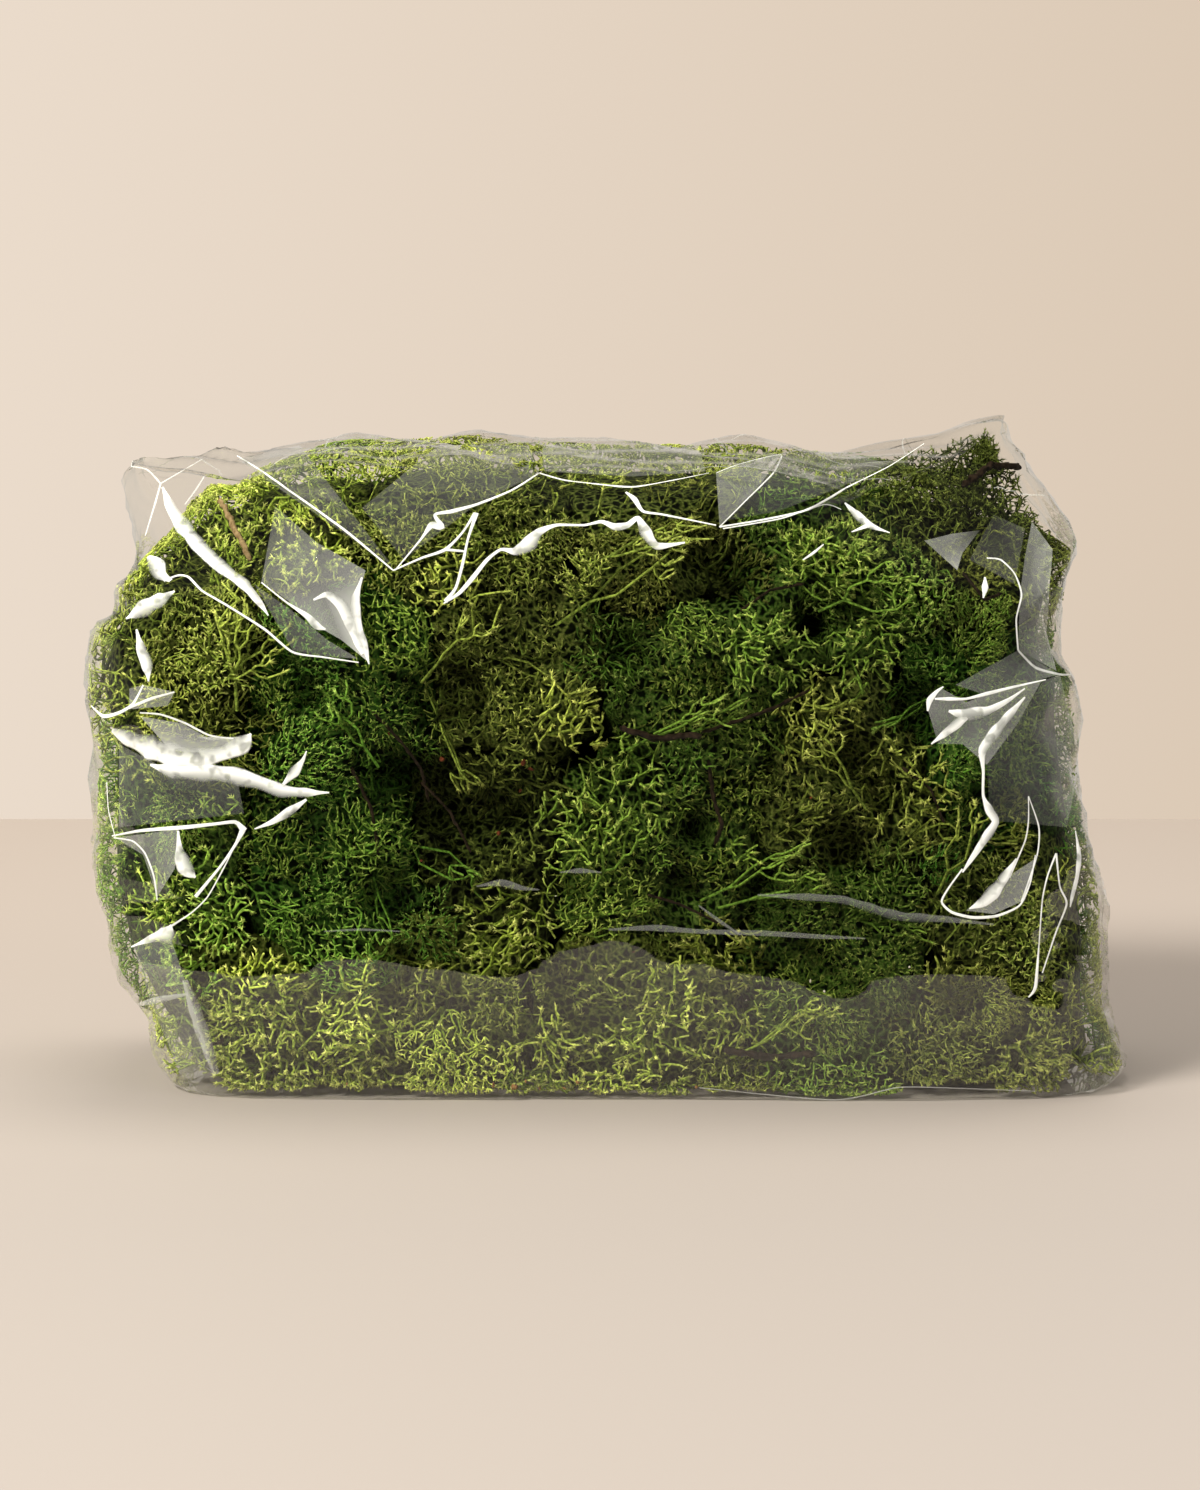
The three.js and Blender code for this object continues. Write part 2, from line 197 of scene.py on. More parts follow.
def add(tree, kind, settings=None, **links):
    """Adds a node with its settings. Each link is an input's name, with _ for a space, or _ and its
    number, and gives it a value, a node or a (node, output) pair."""
    node = tree.nodes.new(kind)
    for key, value in (settings or {}).items():
        setattr(node, key, value)
    for key, value in links.items():
        place = int(key[1:]) if key[0] == "_" else key.replace("_", " ")
        socket = node.inputs[place]
        if isinstance(value, bpy.types.Node):
            tree.links.new(value.outputs[0], socket)
        elif isinstance(value, tuple) and isinstance(value[0], bpy.types.Node):
            tree.links.new(value[0].outputs[value[1]], socket)
        else:
            socket.default_value = value
    return node


def set_ramp(node, stops):
    """Gives a colour ramp its stops: the place and the colour of each."""
    ramp = node.color_ramp
    while len(ramp.elements) < len(stops):
        ramp.elements.new(0.5)
    for element, (place, colour) in zip(ramp.elements, stops):
        element.position = place
        element.color = colour


def preserved_lichen(name, core, stem, branch, tip):
    """Dried and dyed reindeer lichen: matt, powdery branches, darkest where they start and palest
    and yellowest at the tips. The shade's red runs from a branch's foot to its tip, its green is
    how bright the head is, painted light and painted shade included, and its blue how yellow."""
    grain = 0.9 * MM  # powdery granules on the branches, drawn coarser than the real 0.2 mm
    patch = 14 * MM  # uneven take-up of the dye
    mesh = 2.6 * MM  # openings of the matted tangle inside a tuft
    material = new_material(name)
    tree = material.node_tree
    shade = add(tree, "ShaderNodeVertexColor", {"layer_name": "shade"})
    parts = add(tree, "ShaderNodeSeparateColor", Color=shade)
    place = add(tree, "ShaderNodeTexCoord")
    bend = add(tree, "ShaderNodeTexNoise", Vector=(place, "Object"), Scale=1 / mesh, Detail=1.0)
    sway = {"_0": (bend, "Color"), "_1": (mesh, mesh, mesh), "_2": (place, "Object")}
    bent = add(tree, "ShaderNodeVectorMath", {"operation": "MULTIPLY_ADD"}, **sway)
    edges = {"feature": "DISTANCE_TO_EDGE"}
    meshes = add(tree, "ShaderNodeTexVoronoi", edges, Vector=bent, Scale=1 / mesh)
    strand = add(tree, "ShaderNodeMapRange", Value=meshes, _1=0.05, _2=0.2, _3=0.8, _4=0.0)
    inside = add(tree, "ShaderNodeMapRange", Value=(parts, "Red"), _1=0.0, _2=0.02, _3=1.0, _4=0.0)
    matted = add(tree, "ShaderNodeMath", {"operation": "MULTIPLY"}, _0=strand, _1=inside)
    age = add(tree, "ShaderNodeMath", {"operation": "MAXIMUM"}, _0=(parts, "Red"), _1=matted)
    ramp = add(tree, "ShaderNodeValToRGB", Fac=age)
    stops = [(0, linear(core)), (0.3, linear(stem)), (0.7, linear(branch)), (1, linear(tip))]
    set_ramp(ramp, stops)
    straw = linear("#b8b952")
    yellow = add(tree, "ShaderNodeMix", {"data_type": "RGBA"}, Factor=(parts, "Blue"), _6=ramp, _7=straw)
    patches = add(tree, "ShaderNodeTexNoise", Vector=(place, "Object"), Scale=1 / patch, Detail=3.0)
    grains = add(tree, "ShaderNodeTexNoise", Vector=(place, "Object"), Scale=1 / grain, Detail=2.0)
    # The shade's green carries painted light and painted shade: darker with depth, lighter to the left, and
    # the tuft's dark inside.
    bright = add(tree, "ShaderNodeMath", {"operation": "MULTIPLY"}, _0=(parts, "Green"), _1=2.0)
    uneven = add(tree, "ShaderNodeMapRange", Value=(patches, 0), _3=0.7, _4=1.3)
    mottled = add(tree, "ShaderNodeMapRange", Value=(grains, 0), _1=0.38, _2=0.62, _3=0.5, _4=1.5)
    both = add(tree, "ShaderNodeMath", {"operation": "MULTIPLY"}, _0=bright, _1=uneven)
    all_three = add(tree, "ShaderNodeMath", {"operation": "MULTIPLY"}, _0=both, _1=mottled)
    colour = add(tree, "ShaderNodeVectorMath", {"operation": "SCALE"}, _0=(yellow, 2), Scale=all_three)
    bump = add(tree, "ShaderNodeBump", Strength=0.35, Distance=0.15 * MM, Height=(grains, 0))
    finish = {"Base_Color": colour, "Roughness": 0.78, "IOR": 1.45, "Normal": bump}
    body = add(tree, "ShaderNodeBsdfPrincipled", **finish)
    body.inputs["Specular IOR Level"].default_value = 0.25
    add(tree, "ShaderNodeOutputMaterial", Surface=body)
    return material


def clear_film():
    """Cast polypropylene film: clear and glossy, nearly unseen where it lies smooth, and painted white
    along its sharp folds and some facets, partly as stress whitening and partly as painted highlights
    and painted reflections of the lights and the floor. The shade's red is how white the film is painted
    there, its green how unevenly, and its blue how little it mirrors, from the front film to the ends
    and the back."""
    streak = 3.6 * MM  # pleats inside a white fold, in its stress whitening and painted highlight
    both = 0.085  # how much the two surfaces of the loose front film mirror, seen straight on
    one = 0.03  # and how much the one surface does that stays clear of the moss elsewhere
    material = new_material("cast polypropylene film")
    tree = material.node_tree
    shade = add(tree, "ShaderNodeVertexColor", {"layer_name": "shade"})
    parts = add(tree, "ShaderNodeSeparateColor", Color=shade)
    place = add(tree, "ShaderNodeTexCoord")
    facing = add(tree, "ShaderNodeLayerWeight")
    sum_of = {"operation": "MULTIPLY_ADD"}
    reflect = add(tree, "ShaderNodeMath", sum_of, _0=(parts, "Blue"), _1=one - both, _2=both)
    rest = add(tree, "ShaderNodeMath", {"operation": "SUBTRACT"}, _0=1.0, _1=reflect)
    steep = add(tree, "ShaderNodeMath", {"operation": "POWER"}, _0=(facing, "Facing"), _1=5.0)
    gloss = add(tree, "ShaderNodeMath", sum_of, _0=steep, _1=rest, _2=reflect)
    through = add(tree, "ShaderNodeBsdfTransparent", Color=(0.985, 0.99, 0.98, 1))
    mirror = add(tree, "ShaderNodeBsdfGlossy", Color=(1, 1, 1, 1), Roughness=0.03)
    clear = add(tree, "ShaderNodeMixShader", Fac=gloss, _1=through, _2=mirror)
    pleats = add(tree, "ShaderNodeTexNoise", Vector=(place, "Object"), Scale=1 / streak, Detail=1.5)
    least = add(tree, "ShaderNodeMath", sum_of, _0=(parts, "Green"), _1=-0.5, _2=1.0)
    uneven = add(tree, "ShaderNodeMapRange", Value=(pleats, 0), _1=0.34, _2=0.48, _3=least, _4=1.0)
    white = add(tree, "ShaderNodeMath", {"operation": "MULTIPLY"}, _0=(parts, "Red"), _1=uneven)
    # Painted highlight: a pale white mixed in by the shade's red, for the folds' stress whitening and for
    # the glints and reflections that the folds and facets catch.
    pale = linear("#f4f7f2")
    white_fold_and_glint = add(tree, "ShaderNodeBsdfPrincipled", Base_Color=pale, Roughness=0.3, IOR=1.49)
    sheet = add(tree, "ShaderNodeMixShader", Fac=white, _1=clear, _2=white_fold_and_glint)
    add(tree, "ShaderNodeOutputMaterial", Surface=sheet)
    return material


def heather_bark(name, dark, light):
    """Weathered heather wood: dull, flaking bark with pale cracks along the stem."""
    flake = 1.4 * MM  # scales of the bark
    material = new_material(name)
    tree = material.node_tree
    place = add(tree, "ShaderNodeTexCoord")
    flakes = add(tree, "ShaderNodeTexNoise", Vector=(place, "Object"), Scale=1 / flake, Detail=5.0)
    ramp = add(tree, "ShaderNodeValToRGB", Fac=(flakes, 0))
    set_ramp(ramp, [(0.35, linear(dark)), (0.7, linear(light))])
    bump = add(tree, "ShaderNodeBump", Strength=0.6, Distance=0.3 * MM, Height=(flakes, 0))
    finish = {"Base_Color": ramp, "Roughness": 0.85, "IOR": 1.5, "Normal": bump}
    body = add(tree, "ShaderNodeBsdfPrincipled", **finish)
    add(tree, "ShaderNodeOutputMaterial", Surface=body)
    return material


# Each colour of moss: the dark inside of a tuft, which is the lichen's dark base painted darker
# still as shade, then its stems, branches and tips.
LICHENS = {
    "moss_yellow_green": preserved_lichen("yellow-green lichen", "#181f0a", "#5e7425", "#819536", "#bdc26e"),
    "moss_olive": preserved_lichen("olive lichen", "#151a08", "#506324", "#728434", "#abb160"),
    "moss_green": preserved_lichen("mid-green lichen", "#111a09", "#456822", "#5a802b", "#9aab58"),
    "moss_emerald": preserved_lichen("emerald lichen", "#0d1908", "#325f1a", "#467824", "#7f9a4a"),
    "moss_deep": preserved_lichen("dark lichen", "#0b0e07", "#2f3a18", "#495822", "#78843d"),
}
FILM = clear_film()

# ------------------------------------------------------------------ the bag's surface, in numbers


def swelling(x, y, z):
    """How far the film swells out over the moss: a pattern of bumps and a slanting one over it."""
    k = 2 * math.pi / SWELL_WAVELENGTH
    broad_along = np.sin(k * x + 0.6 * np.sin(0.8 * k * z) + 1.1)
    broad_up = np.sin(0.9 * k * z + 0.4 * np.cos(k * x) + 0.3)
    slant_along = np.sin(1.7 * k * (0.8 * x + 0.6 * z) + 2)
    slant_up = np.cos(1.3 * k * (0.9 * z - 0.4 * x) + 0.02 * y)
    return (SWELL_HEIGHT / 2) * (broad_along * broad_up + 0.6 * slant_along * slant_up)


def depth_at(x, z, side):
    """How far the film stands in front of the middle plane, or behind it where side is positive."""
    under = TURN_UNDER_SLOPE * np.maximum(0, along(TURN_UNDER, x) - z)
    front = along(FRONT_DEPTH, z) + SWELL_AT_FRONT * swelling(x, 0 * x, z) - under
    back = along(BACK_DEPTH, z) + swelling(x, 0 * x, z)
    return np.where(side < 0, front, back)


def from_block(u, v, w):
    """The bag's body, without its ears, at a point of the rounded block from -1 to 1."""
    top = np.maximum(0, w)
    z = ((w + 1) / 2) * (BAG_HEIGHT + BAG_SINK) - BAG_SINK + BAG_TOP_SLOPE * v * top**3
    x = u * np.where(u < 0, along(LEFT_EDGE, z), along(RIGHT_EDGE, z))
    z = z + along(TOP_LINE, x) * top**3
    y = v * depth_at(x, z, v)
    swell = swelling(x, y, z)
    x = x + swell * SWELL_AT_SIDES * u**5
    z = z + swell * SWELL_ON_TOP * top**5
    return x, y, np.maximum(0, z)


def to_block(points):
    """Where points of the body lie in the rounded block, near enough for keeping clear of the film."""
    x, y, z = points.T
    v = y / depth_at(x, z, y)
    w = 2 * (z + BAG_SINK) / (BAG_HEIGHT + BAG_SINK) - 1
    z = z - (BAG_TOP_SLOPE * np.clip(v, -1, 1) + along(TOP_LINE, x)) * np.clip(w, 0, 1) ** 3
    w = 2 * (z + BAG_SINK) / (BAG_HEIGHT + BAG_SINK) - 1
    u = x / np.where(x < 0, along(LEFT_EDGE, z), along(RIGHT_EDGE, z))
    return np.stack([u, y / depth_at(x, z, y), w], axis=1)


def block_size(block):
    """How large the rounded block is that goes through these points, where 1 is the bag's own."""
    return (np.abs(block) ** BAG_SQUARENESS).sum(axis=1) ** (1 / BAG_SQUARENESS)


def ear_pull(ear, a, c):
    """How strongly an ear draws the film there, from 0 to 1."""
    outward = smoothstep(ear["side"] * a, ear["outward_from"], 1)
    return outward * smoothstep(c, EAR_UPWARD_FROM, 1)


def pinched(ear, pull, y):
    """How an ear draws the front and back film together at its root."""
    tip_y = ear["tip"][1]
    return y + (tip_y + (y - tip_y) * (1 - ear["pinch"]) - y) * pull**0.6


def film_point(a, b, c):
    """The film's outer surface at points of the cube from -1 to 1."""
    size = block_size(np.stack([a, b, c], axis=1))
    x, y, z = from_block(a / size, b / size, c / size)
    corner = 2 ** (-1 / BAG_SQUARENESS)  # where the rounded block's own corner is
    for ear in EARS:
        pull = ear_pull(ear, a, c)
        tip_x, _, tip_z = ear["tip"]
        edge = along(LEFT_EDGE if ear["side"] < 0 else RIGHT_EDGE, BAG_HEIGHT)
        x = x + pull * (tip_x - ear["side"] * corner * edge)
        z = z + pull * (tip_z - ((corner + 1) / 2) * BAG_HEIGHT)
        y = pinched(ear, pull, y)
    return np.stack([x, y, z], axis=1)


def grid_quads(rows, columns):
    """The quads between the points of a grid, which are numbered row by row."""
    number = np.arange(rows * columns).reshape(rows, columns)
    corners = (number[:-1, :-1], number[1:, :-1], number[1:, 1:], number[:-1, 1:])
    return np.stack([corner.ravel() for corner in corners], axis=1)


def cube_grid(width, depth, height):
    """Points of a cube's surface from -1 to 1, and the quads between them, with shared edges merged."""
    sides = (
        (width, height, lambda s, t: (s, -np.ones_like(s), t)),
        (height, width, lambda s, t: (t, np.ones_like(s), s)),
        (height, depth, lambda s, t: (-np.ones_like(s), t, s)),
        (depth, height, lambda s, t: (np.ones_like(s), s, t)),
        (depth, width, lambda s, t: (t, s, -np.ones_like(s))),
        (width, depth, lambda s, t: (s, t, np.ones_like(s))),
    )
    parts = []
    for rows, columns, place in sides:
        s, t = np.meshgrid(np.linspace(-1, 1, rows + 1), np.linspace(-1, 1, columns + 1), indexing="ij")
        points = np.stack([part.ravel() for part in place(s, t)], axis=1)
        parts.append((points, grid_quads(rows + 1, columns + 1)))
    points, faces, _ = join(parts)
    _, first, merged = np.unique(np.round(points * 1e5), axis=0, return_index=True, return_inverse=True)
    return points[first], merged.reshape(-1)[faces]


# ------------------------------------------------------------------ branches of lichen

THICKEST = 0.9  # radius of the stoutest stems
FINEST = 0.18  # radius of a branchlet just below its tip
BOWED_FROM = 2.3  # a fork's side longer than this is bowed
LONGEST_BUD = 1.6  # of the tiny tips at the end of a branch
FLATNESS = 0.24  # how far below its tips a fork lies, as a share of their spacing
TRUNK_SHARE = 0.3  # how far towards its tips a head's first stem goes before it forks
KNEE_AT = 0.42  # where along a bowed side its knee is, and how far it stands out, both as a share
KNEE_OUT = 0.2


class Branches:
    """Many straight pieces of branch: where each starts and ends, its radii and its age, from 0 at
    the foot of a stem to 1 at the tips."""

    def __init__(self):
        self.rows = []

    def put(self, starts, ends, radii, ages):
        """Adds pieces. Radii and ages are two for each piece, or two that all of them share."""
        count = len(starts)
        radii = np.broadcast_to(radii, (count, 2))
        ages = np.broadcast_to(ages, (count, 2))
        self.rows.append((starts, ends, radii, ages))

    def joined(self):
        """All pieces as four arrays: starts, ends, radii and ages."""
        return tuple(np.concatenate(column) for column in zip(*self.rows))


def put_tips(draw, branches, feet, ways, length, most, chance):
    """Tiny pointed tips that spread from the end of each branch."""
    for _ in range(most):
        kept = draw.random(len(feet)) < chance
        lean = unit(ways[kept] + draw.normal(0, 0.6, (kept.sum(), 3)))
        size = length * draw.uniform(0.6, 1.3, (kept.sum(), 1))
        branches.put(feet[kept], feet[kept] + lean * size, (FINEST * 0.95, 0.0), (0.88, 1.0))


def stem_radius(carried):
    """How thick a stem is that carries this many tips."""
    return FINEST * 1.1 + (THICKEST - FINEST) * (carried / 256) ** 0.6


def fork_to(draw, branches, foot, tips, spacing, waver):
    """Stems that fork again and again on the way from one foot to all of the tips. The two sides of
    a fork bow apart, so that the angle between them is round."""
    most = len(tips)
    rows = []
    last = []

    def grow(start, end, above, count):
        """One stem. The more tips it carries at its start and its end, the stouter and older it is."""
        ages = [max(0.03, 0.92 - 0.9 * math.log(n + 1) / math.log(most + 2)) for n in (above, count)]
        rows.append((start, end, stem_radius(above), stem_radius(count), *ages))

    trunk = foot + (tips.mean(axis=0) - foot) * TRUNK_SHARE
    grow(foot, trunk, most, most)
    work = [(np.arange(most), trunk)]
    while work:
        members, start = work.pop()
        count = len(members)
        if count == 1:
            last.append(len(rows) - 1)
            continue
        # The tips are parted across the direction that they spread in most.
        cloud = tips[members] - tips[members].mean(axis=0)
        across = draw.normal(0, 1, 3)
        for _ in range(2):
            across = (cloud * (cloud @ across)[:, None]).sum(axis=0)
        order = members[np.argsort(cloud @ across)]
        cut = min(count - 1, max(1, round(count * draw.uniform(0.34, 0.66))))
        parts = (order[:cut], order[cut:])
        nodes = []
        for part in parts:
            middle = tips[part].mean(axis=0)
            away = np.linalg.norm(middle - foot)
            sunk = min(FLATNESS * spacing * len(part) ** 0.76, 0.72 * away) if len(part) > 1 else 0
            node = middle + (foot - middle) * sunk / away
            if len(part) > 1:
                node = node + draw.normal(0, waver * np.linalg.norm(node - start) + 0.05, 3)
            nodes.append(node)
        apart = nodes[1] - nodes[0]
        apart = apart / (np.linalg.norm(apart) + 1e-9)
        for part, node, sign in zip(parts, nodes, (-1, 1)):
            length = np.linalg.norm(node - start)
            if length > BOWED_FROM:
                knee = start + (node - start) * KNEE_AT + apart * sign * length * KNEE_OUT
                grow(start, knee, count, len(part))
                grow(knee, node, len(part), len(part))
            else:
                grow(start, node, count, len(part))
            work.append((part, node))
    table = [np.array(column) for column in zip(*rows)]
    starts, ends = table[:2]
    branches.put(starts, ends, np.stack(table[2:4], axis=1), np.stack(table[4:6], axis=1))
    last = np.array(last)
    return starts[last], ends[last]


# ------------------------------------------------------------------ where the moss grows

FILM_GAP = np.array([1.6, 1.0, 1.2])  # from a tip to the film, along each axis
CORE_GAP = np.array([6.5, 13, 8])  # from the dark inside of the moss to the film
TUFT_NAMES = sorted(name for name in frame["nodes"] if name.startswith("moss_tuft"))
BOXES = [np.array(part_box(name)) for name in TUFT_NAMES]
MIDDLES = np.array([(low + high) / 2 / MM for low, high in BOXES])
ROUGH_MIDDLES = MIDDLES + np.random.default_rng(MIDDLES_SEED).uniform(-1, 1, MIDDLES.shape) * [7, 2, 7]
# Painted light and shade: the lichen is painted brighter at the left end of the bag, where the
# window's light falls, and darker towards the right, and a little brighter low down near its base.
PAINTED_LIGHT_ALONG = ((-150, 1.3), (-70, 1.28), (-20, 1.06), (60, 0.88), (150, 0.84))
BRIGHT_UP = ((0, 1.06), (45, 1.06), (60, 1), (186, 1))
# For each colour of moss the share of its heads that are covered in fine fuzz, and the share of the
# others that are open nets of stout branches.
FUZZY_AND_AIRY = {
    "moss_yellow_green": (0.0, 0.55),
    "moss_olive": (0.05, 0.4),
    "moss_green": (0.2, 0.25),
    "moss_emerald": (0.6, 0.0),
    "moss_deep": (0.0, 0.5),
}
AIRY_SPACING = 1.45  # how much wider apart an open net's tips stand, and how much stouter it is
AIRY_STOUTNESS = 1.55
BASE_HEIGHT = 1.2  # the lowest moss of the front edge, and how far forward that edge begins
FRONT_EDGE = -36
FRONT, RIM, BACK = range(3)
SIDEWAYS = 0.4  # a way out of the bag that goes less than this to the front or the back is the rim's
# How far apart the tips stand. The real lace is finer.
TIP_SPACING = {FRONT: 1.68, RIM: 2.6, BACK: 3.9}
DEEPEST_HEAD = {FRONT: 9, RIM: 1.2, BACK: 5}  # how far under the film the middle of a head may lie
RIM_DEPTH = 0.32  # how deep the gaps between the heads of the rim are, as a share of the others'
DOME = 0.3  # how much lower the edge of a head lies than its middle, as a share of its half width
TIPS_IN_LOBE = 14  # a head's small lobes: how many tips each has, its half width and its own dome
LOBE_SIZE = 4.0
LOBE_DOME = 1.9
RAGGEDNESS = 0.8  # how far the single tips fall short of their lobe on average
# Painted shade by depth: how bright the lichen is painted just under the film, how much darker with
# each millimetre of depth, and the least and most that it may be.
LIGHT_AT_FILM = 1.27
LIGHT_LOST = 0.068
LIGHT_RANGE = (0.16, 1.2)
YELLOWEST = 0.35  # how yellow the tips of the yellowest heads are
# Heads by size, largest first: half width, how many places are tried, and how close two may stand
# as a share of their half widths together.
HEAD_SIZES = {
    FRONT: ((13, 2000, 0.86), (10, 6000, 0.84), (7, 12000, 0.84)),
    RIM: ((13, 2000, 0.86), (9, 6000, 0.84)),
    BACK: ((15, 2000, 0.86), (10, 6000, 0.84)),
}
TRY_SPACING = 0.35  # how far apart those places are, as a share of the half width
PLACED_ROOM = 0.8  # how near to a placed head another may stand, as a share of its half width
# Hollows between the heads at the front: x, z, half width and how much deeper the moss is there.
HOLLOWS = (
    (-42, 85, 19, 13), (-58, 92, 12, 10), (32, 154, 14, 12), (-2, 103, 9, 12), (90, 112, 12, 10),
    (70, 98, 9, 10), (68, 74, 10, 10), (-103, 108, 10, 8), (-28, 86, 10, 12), (46, 60, 10, 8),
    (-62, 60, 9, 8), (20, 60, 8, 8), (102, 30, 10, 8), (-75, 140, 9, 8), (-118, 150, 10, 10),
    (60, 36, 9, 8), (-96, 128, 9, 8), (112, 84, 9, 8), (6, 130, 8, 8), (-44, 114, 13, 10), (-8, 62, 8, 8),
    (58, 135, 6, 12), (80, 90, 9, 10), (26, 78, 6, 12), (55, 38, 12, 8), (-84, 118, 7, 8),
    (-60, 40, 7, 7),
)


def tuft_at(place):
    """The tuft that a head or a stem at this place belongs to: the edges between tufts run unevenly."""
    shaken = place + 4 * np.array([math.sin(place[2] / 9), 0, math.sin(place[0] / 11)])
    return TUFT_NAMES[int(np.argmin(np.linalg.norm(ROUGH_MIDDLES - shaken, axis=1)))]


def side_of(way):
    """Which side of the bag a place faces: the front film, its top or ends, or the back."""
    if way[1] < -SIDEWAYS:
        return FRONT
    return RIM if way[1] < SIDEWAYS else BACK


def block_size_within(block, gap):
    """The size of block points, where 1 is the body shrunk by a gap along each axis."""
    return block_size(block / (1 - gap / HALF_SIZE))


def press_inside(points, gap):
    """Points outside the film, or nearer to it than gap, brought back along the way to the middle."""
    block = to_block(points - SHIFT)
    size = block_size_within(block, gap)
    inner = block / np.maximum(1, size)[:, None]
    x, y, z = from_block(*inner.T)
    kept = np.where(size[:, None] > 1, np.stack([x, y, z], axis=1) + SHIFT, points)
    kept[:, 2] = np.maximum(kept[:, 2], 1.0)
    return kept


def pinch_ears(points):
    """Points of the full body where the ears have drawn the front and back film together."""
    block = to_block(points - SHIFT)
    a, _, c = (block / np.maximum(np.abs(block).max(axis=1, keepdims=True), 1e-6)).T
    moved = points.copy()
    for ear in EARS:
        moved[:, 1] = pinched(ear, ear_pull(ear, a, c), moved[:, 1])
    return moved


def on_body(a, b, c):
    """Points of the body's surface, for points of the cube."""
    size = block_size(np.stack([a, b, c], axis=1))
    return np.stack(from_block(a / size, b / size, c / size), axis=1) + SHIFT


def body_with_ways(a, b, c):
    """Points of the body's surface and the way out of it, for points of the cube."""
    step = 0.01
    cube = np.stack([a, b, c], axis=1)
    flat = np.argmax(np.abs(cube), axis=1)
    here = on_body(a, b, c)
    moves = []
    for turn in (1, 2):
        axis = (flat + turn) % 3
        moved = cube.copy()
        moved[np.arange(len(cube)), axis] += step
        moves.append(on_body(*moved.T) - here)
    way = np.cross(moves[0], moves[1]) * np.sign(cube[np.arange(len(cube)), flat])[:, None]
    return here, unit(way)


def scatter(draw, spacing_of):
    """Places over the body's surface at an even spacing for each side, with the ways out."""
    rows = []
    across = {0: (1, 2), 1: (0, 2), 2: (0, 1)}
    for flat in range(3):
        for sign in (-1, 1):
            if flat == 2 and sign < 0:
                continue
            side = RIM if flat != 1 else (FRONT if sign < 0 else BACK)
            first, second = across[flat]
            counts = [max(2, round(2 * HALF_SIZE[k] / spacing_of[side])) for k in (first, second)]
            s, t = np.meshgrid(*[(np.arange(n) + 0.5) * 2 / n - 1 for n in counts], indexing="ij")
            s[:, ::2] += 1 / counts[0]
            cube = np.zeros((s.size, 3))
            cube[:, flat] = sign
            cube[:, first] = s.ravel() + draw.uniform(-0.8, 0.8, s.size) / counts[0]
            cube[:, second] = t.ravel() + draw.uniform(-0.8, 0.8, s.size) / counts[1]
            cube = np.clip(cube, -1, 1)
            rows.append(body_with_ways(*cube.T))
    points, ways = (np.concatenate(column) for column in zip(*rows))
    # Along the front edge of the base the moss still faces forward. The rest of the base has none.
    under = (points[:, 2] < BASE_HEIGHT) & (points[:, 1] < FRONT_EDGE)
    points[under, 2] = BASE_HEIGHT
    ways[under] = unit(np.array([0, -1, -0.6]))
    kept = under | (ways[:, 2] > -0.9) & (points[:, 2] > 0.8)
    return points[kept], ways[kept]


def head_places(draw):
    """Middles of the heads, each clear enough of the ones before it: place, way out, half width."""
    heads = []
    for rank in range(3):
        for side, sizes in HEAD_SIZES.items():
            if rank >= len(sizes):
                continue
            half, tries, crowding = sizes[rank]
            points, ways = scatter(draw, {k: half * TRY_SPACING for k in TIP_SPACING})
            order = draw.permutation(len(points))[:tries]
            for point, way in zip(points[order], ways[order]):
                if side_of(way) != side:
                    continue
                size = half * draw.uniform(0.85, 1.15)
                if heads:
                    gaps = np.linalg.norm(np.array([head[0] for head in heads]) - point, axis=1)
                    others = np.array([head[2] for head in heads])
                    if (gaps < crowding * (others + size)).any():
                        continue
                heads.append((point, way, size))
    return heads


def nearest(points, middles, sizes):
    """For each point the middle that it is nearest to, weighed by size, and how far that is."""
    owner = np.empty(len(points), int)
    share = np.empty(len(points))
    for start in range(0, len(points), 4000):
        part = slice(start, start + 4000)
        apart = np.linalg.norm(points[part, None] - middles[None], axis=2) / sizes[None]
        owner[part] = np.argmin(apart, axis=1)
        share[part] = apart.min(axis=1)
    return owner, share


def hollow_depth(points):
    """How much deeper the moss lies at points of the front because of its hollows."""
    depth = np.zeros(len(points))
    for x, z, half, deep in HOLLOWS:
        away = np.hypot(points[:, 0] - x, points[:, 2] - z) / half
        depth = np.maximum(depth, deep * (1 - smoothstep(away, 0.35, 1.2)))
    return depth * (points[:, 1] < 0)


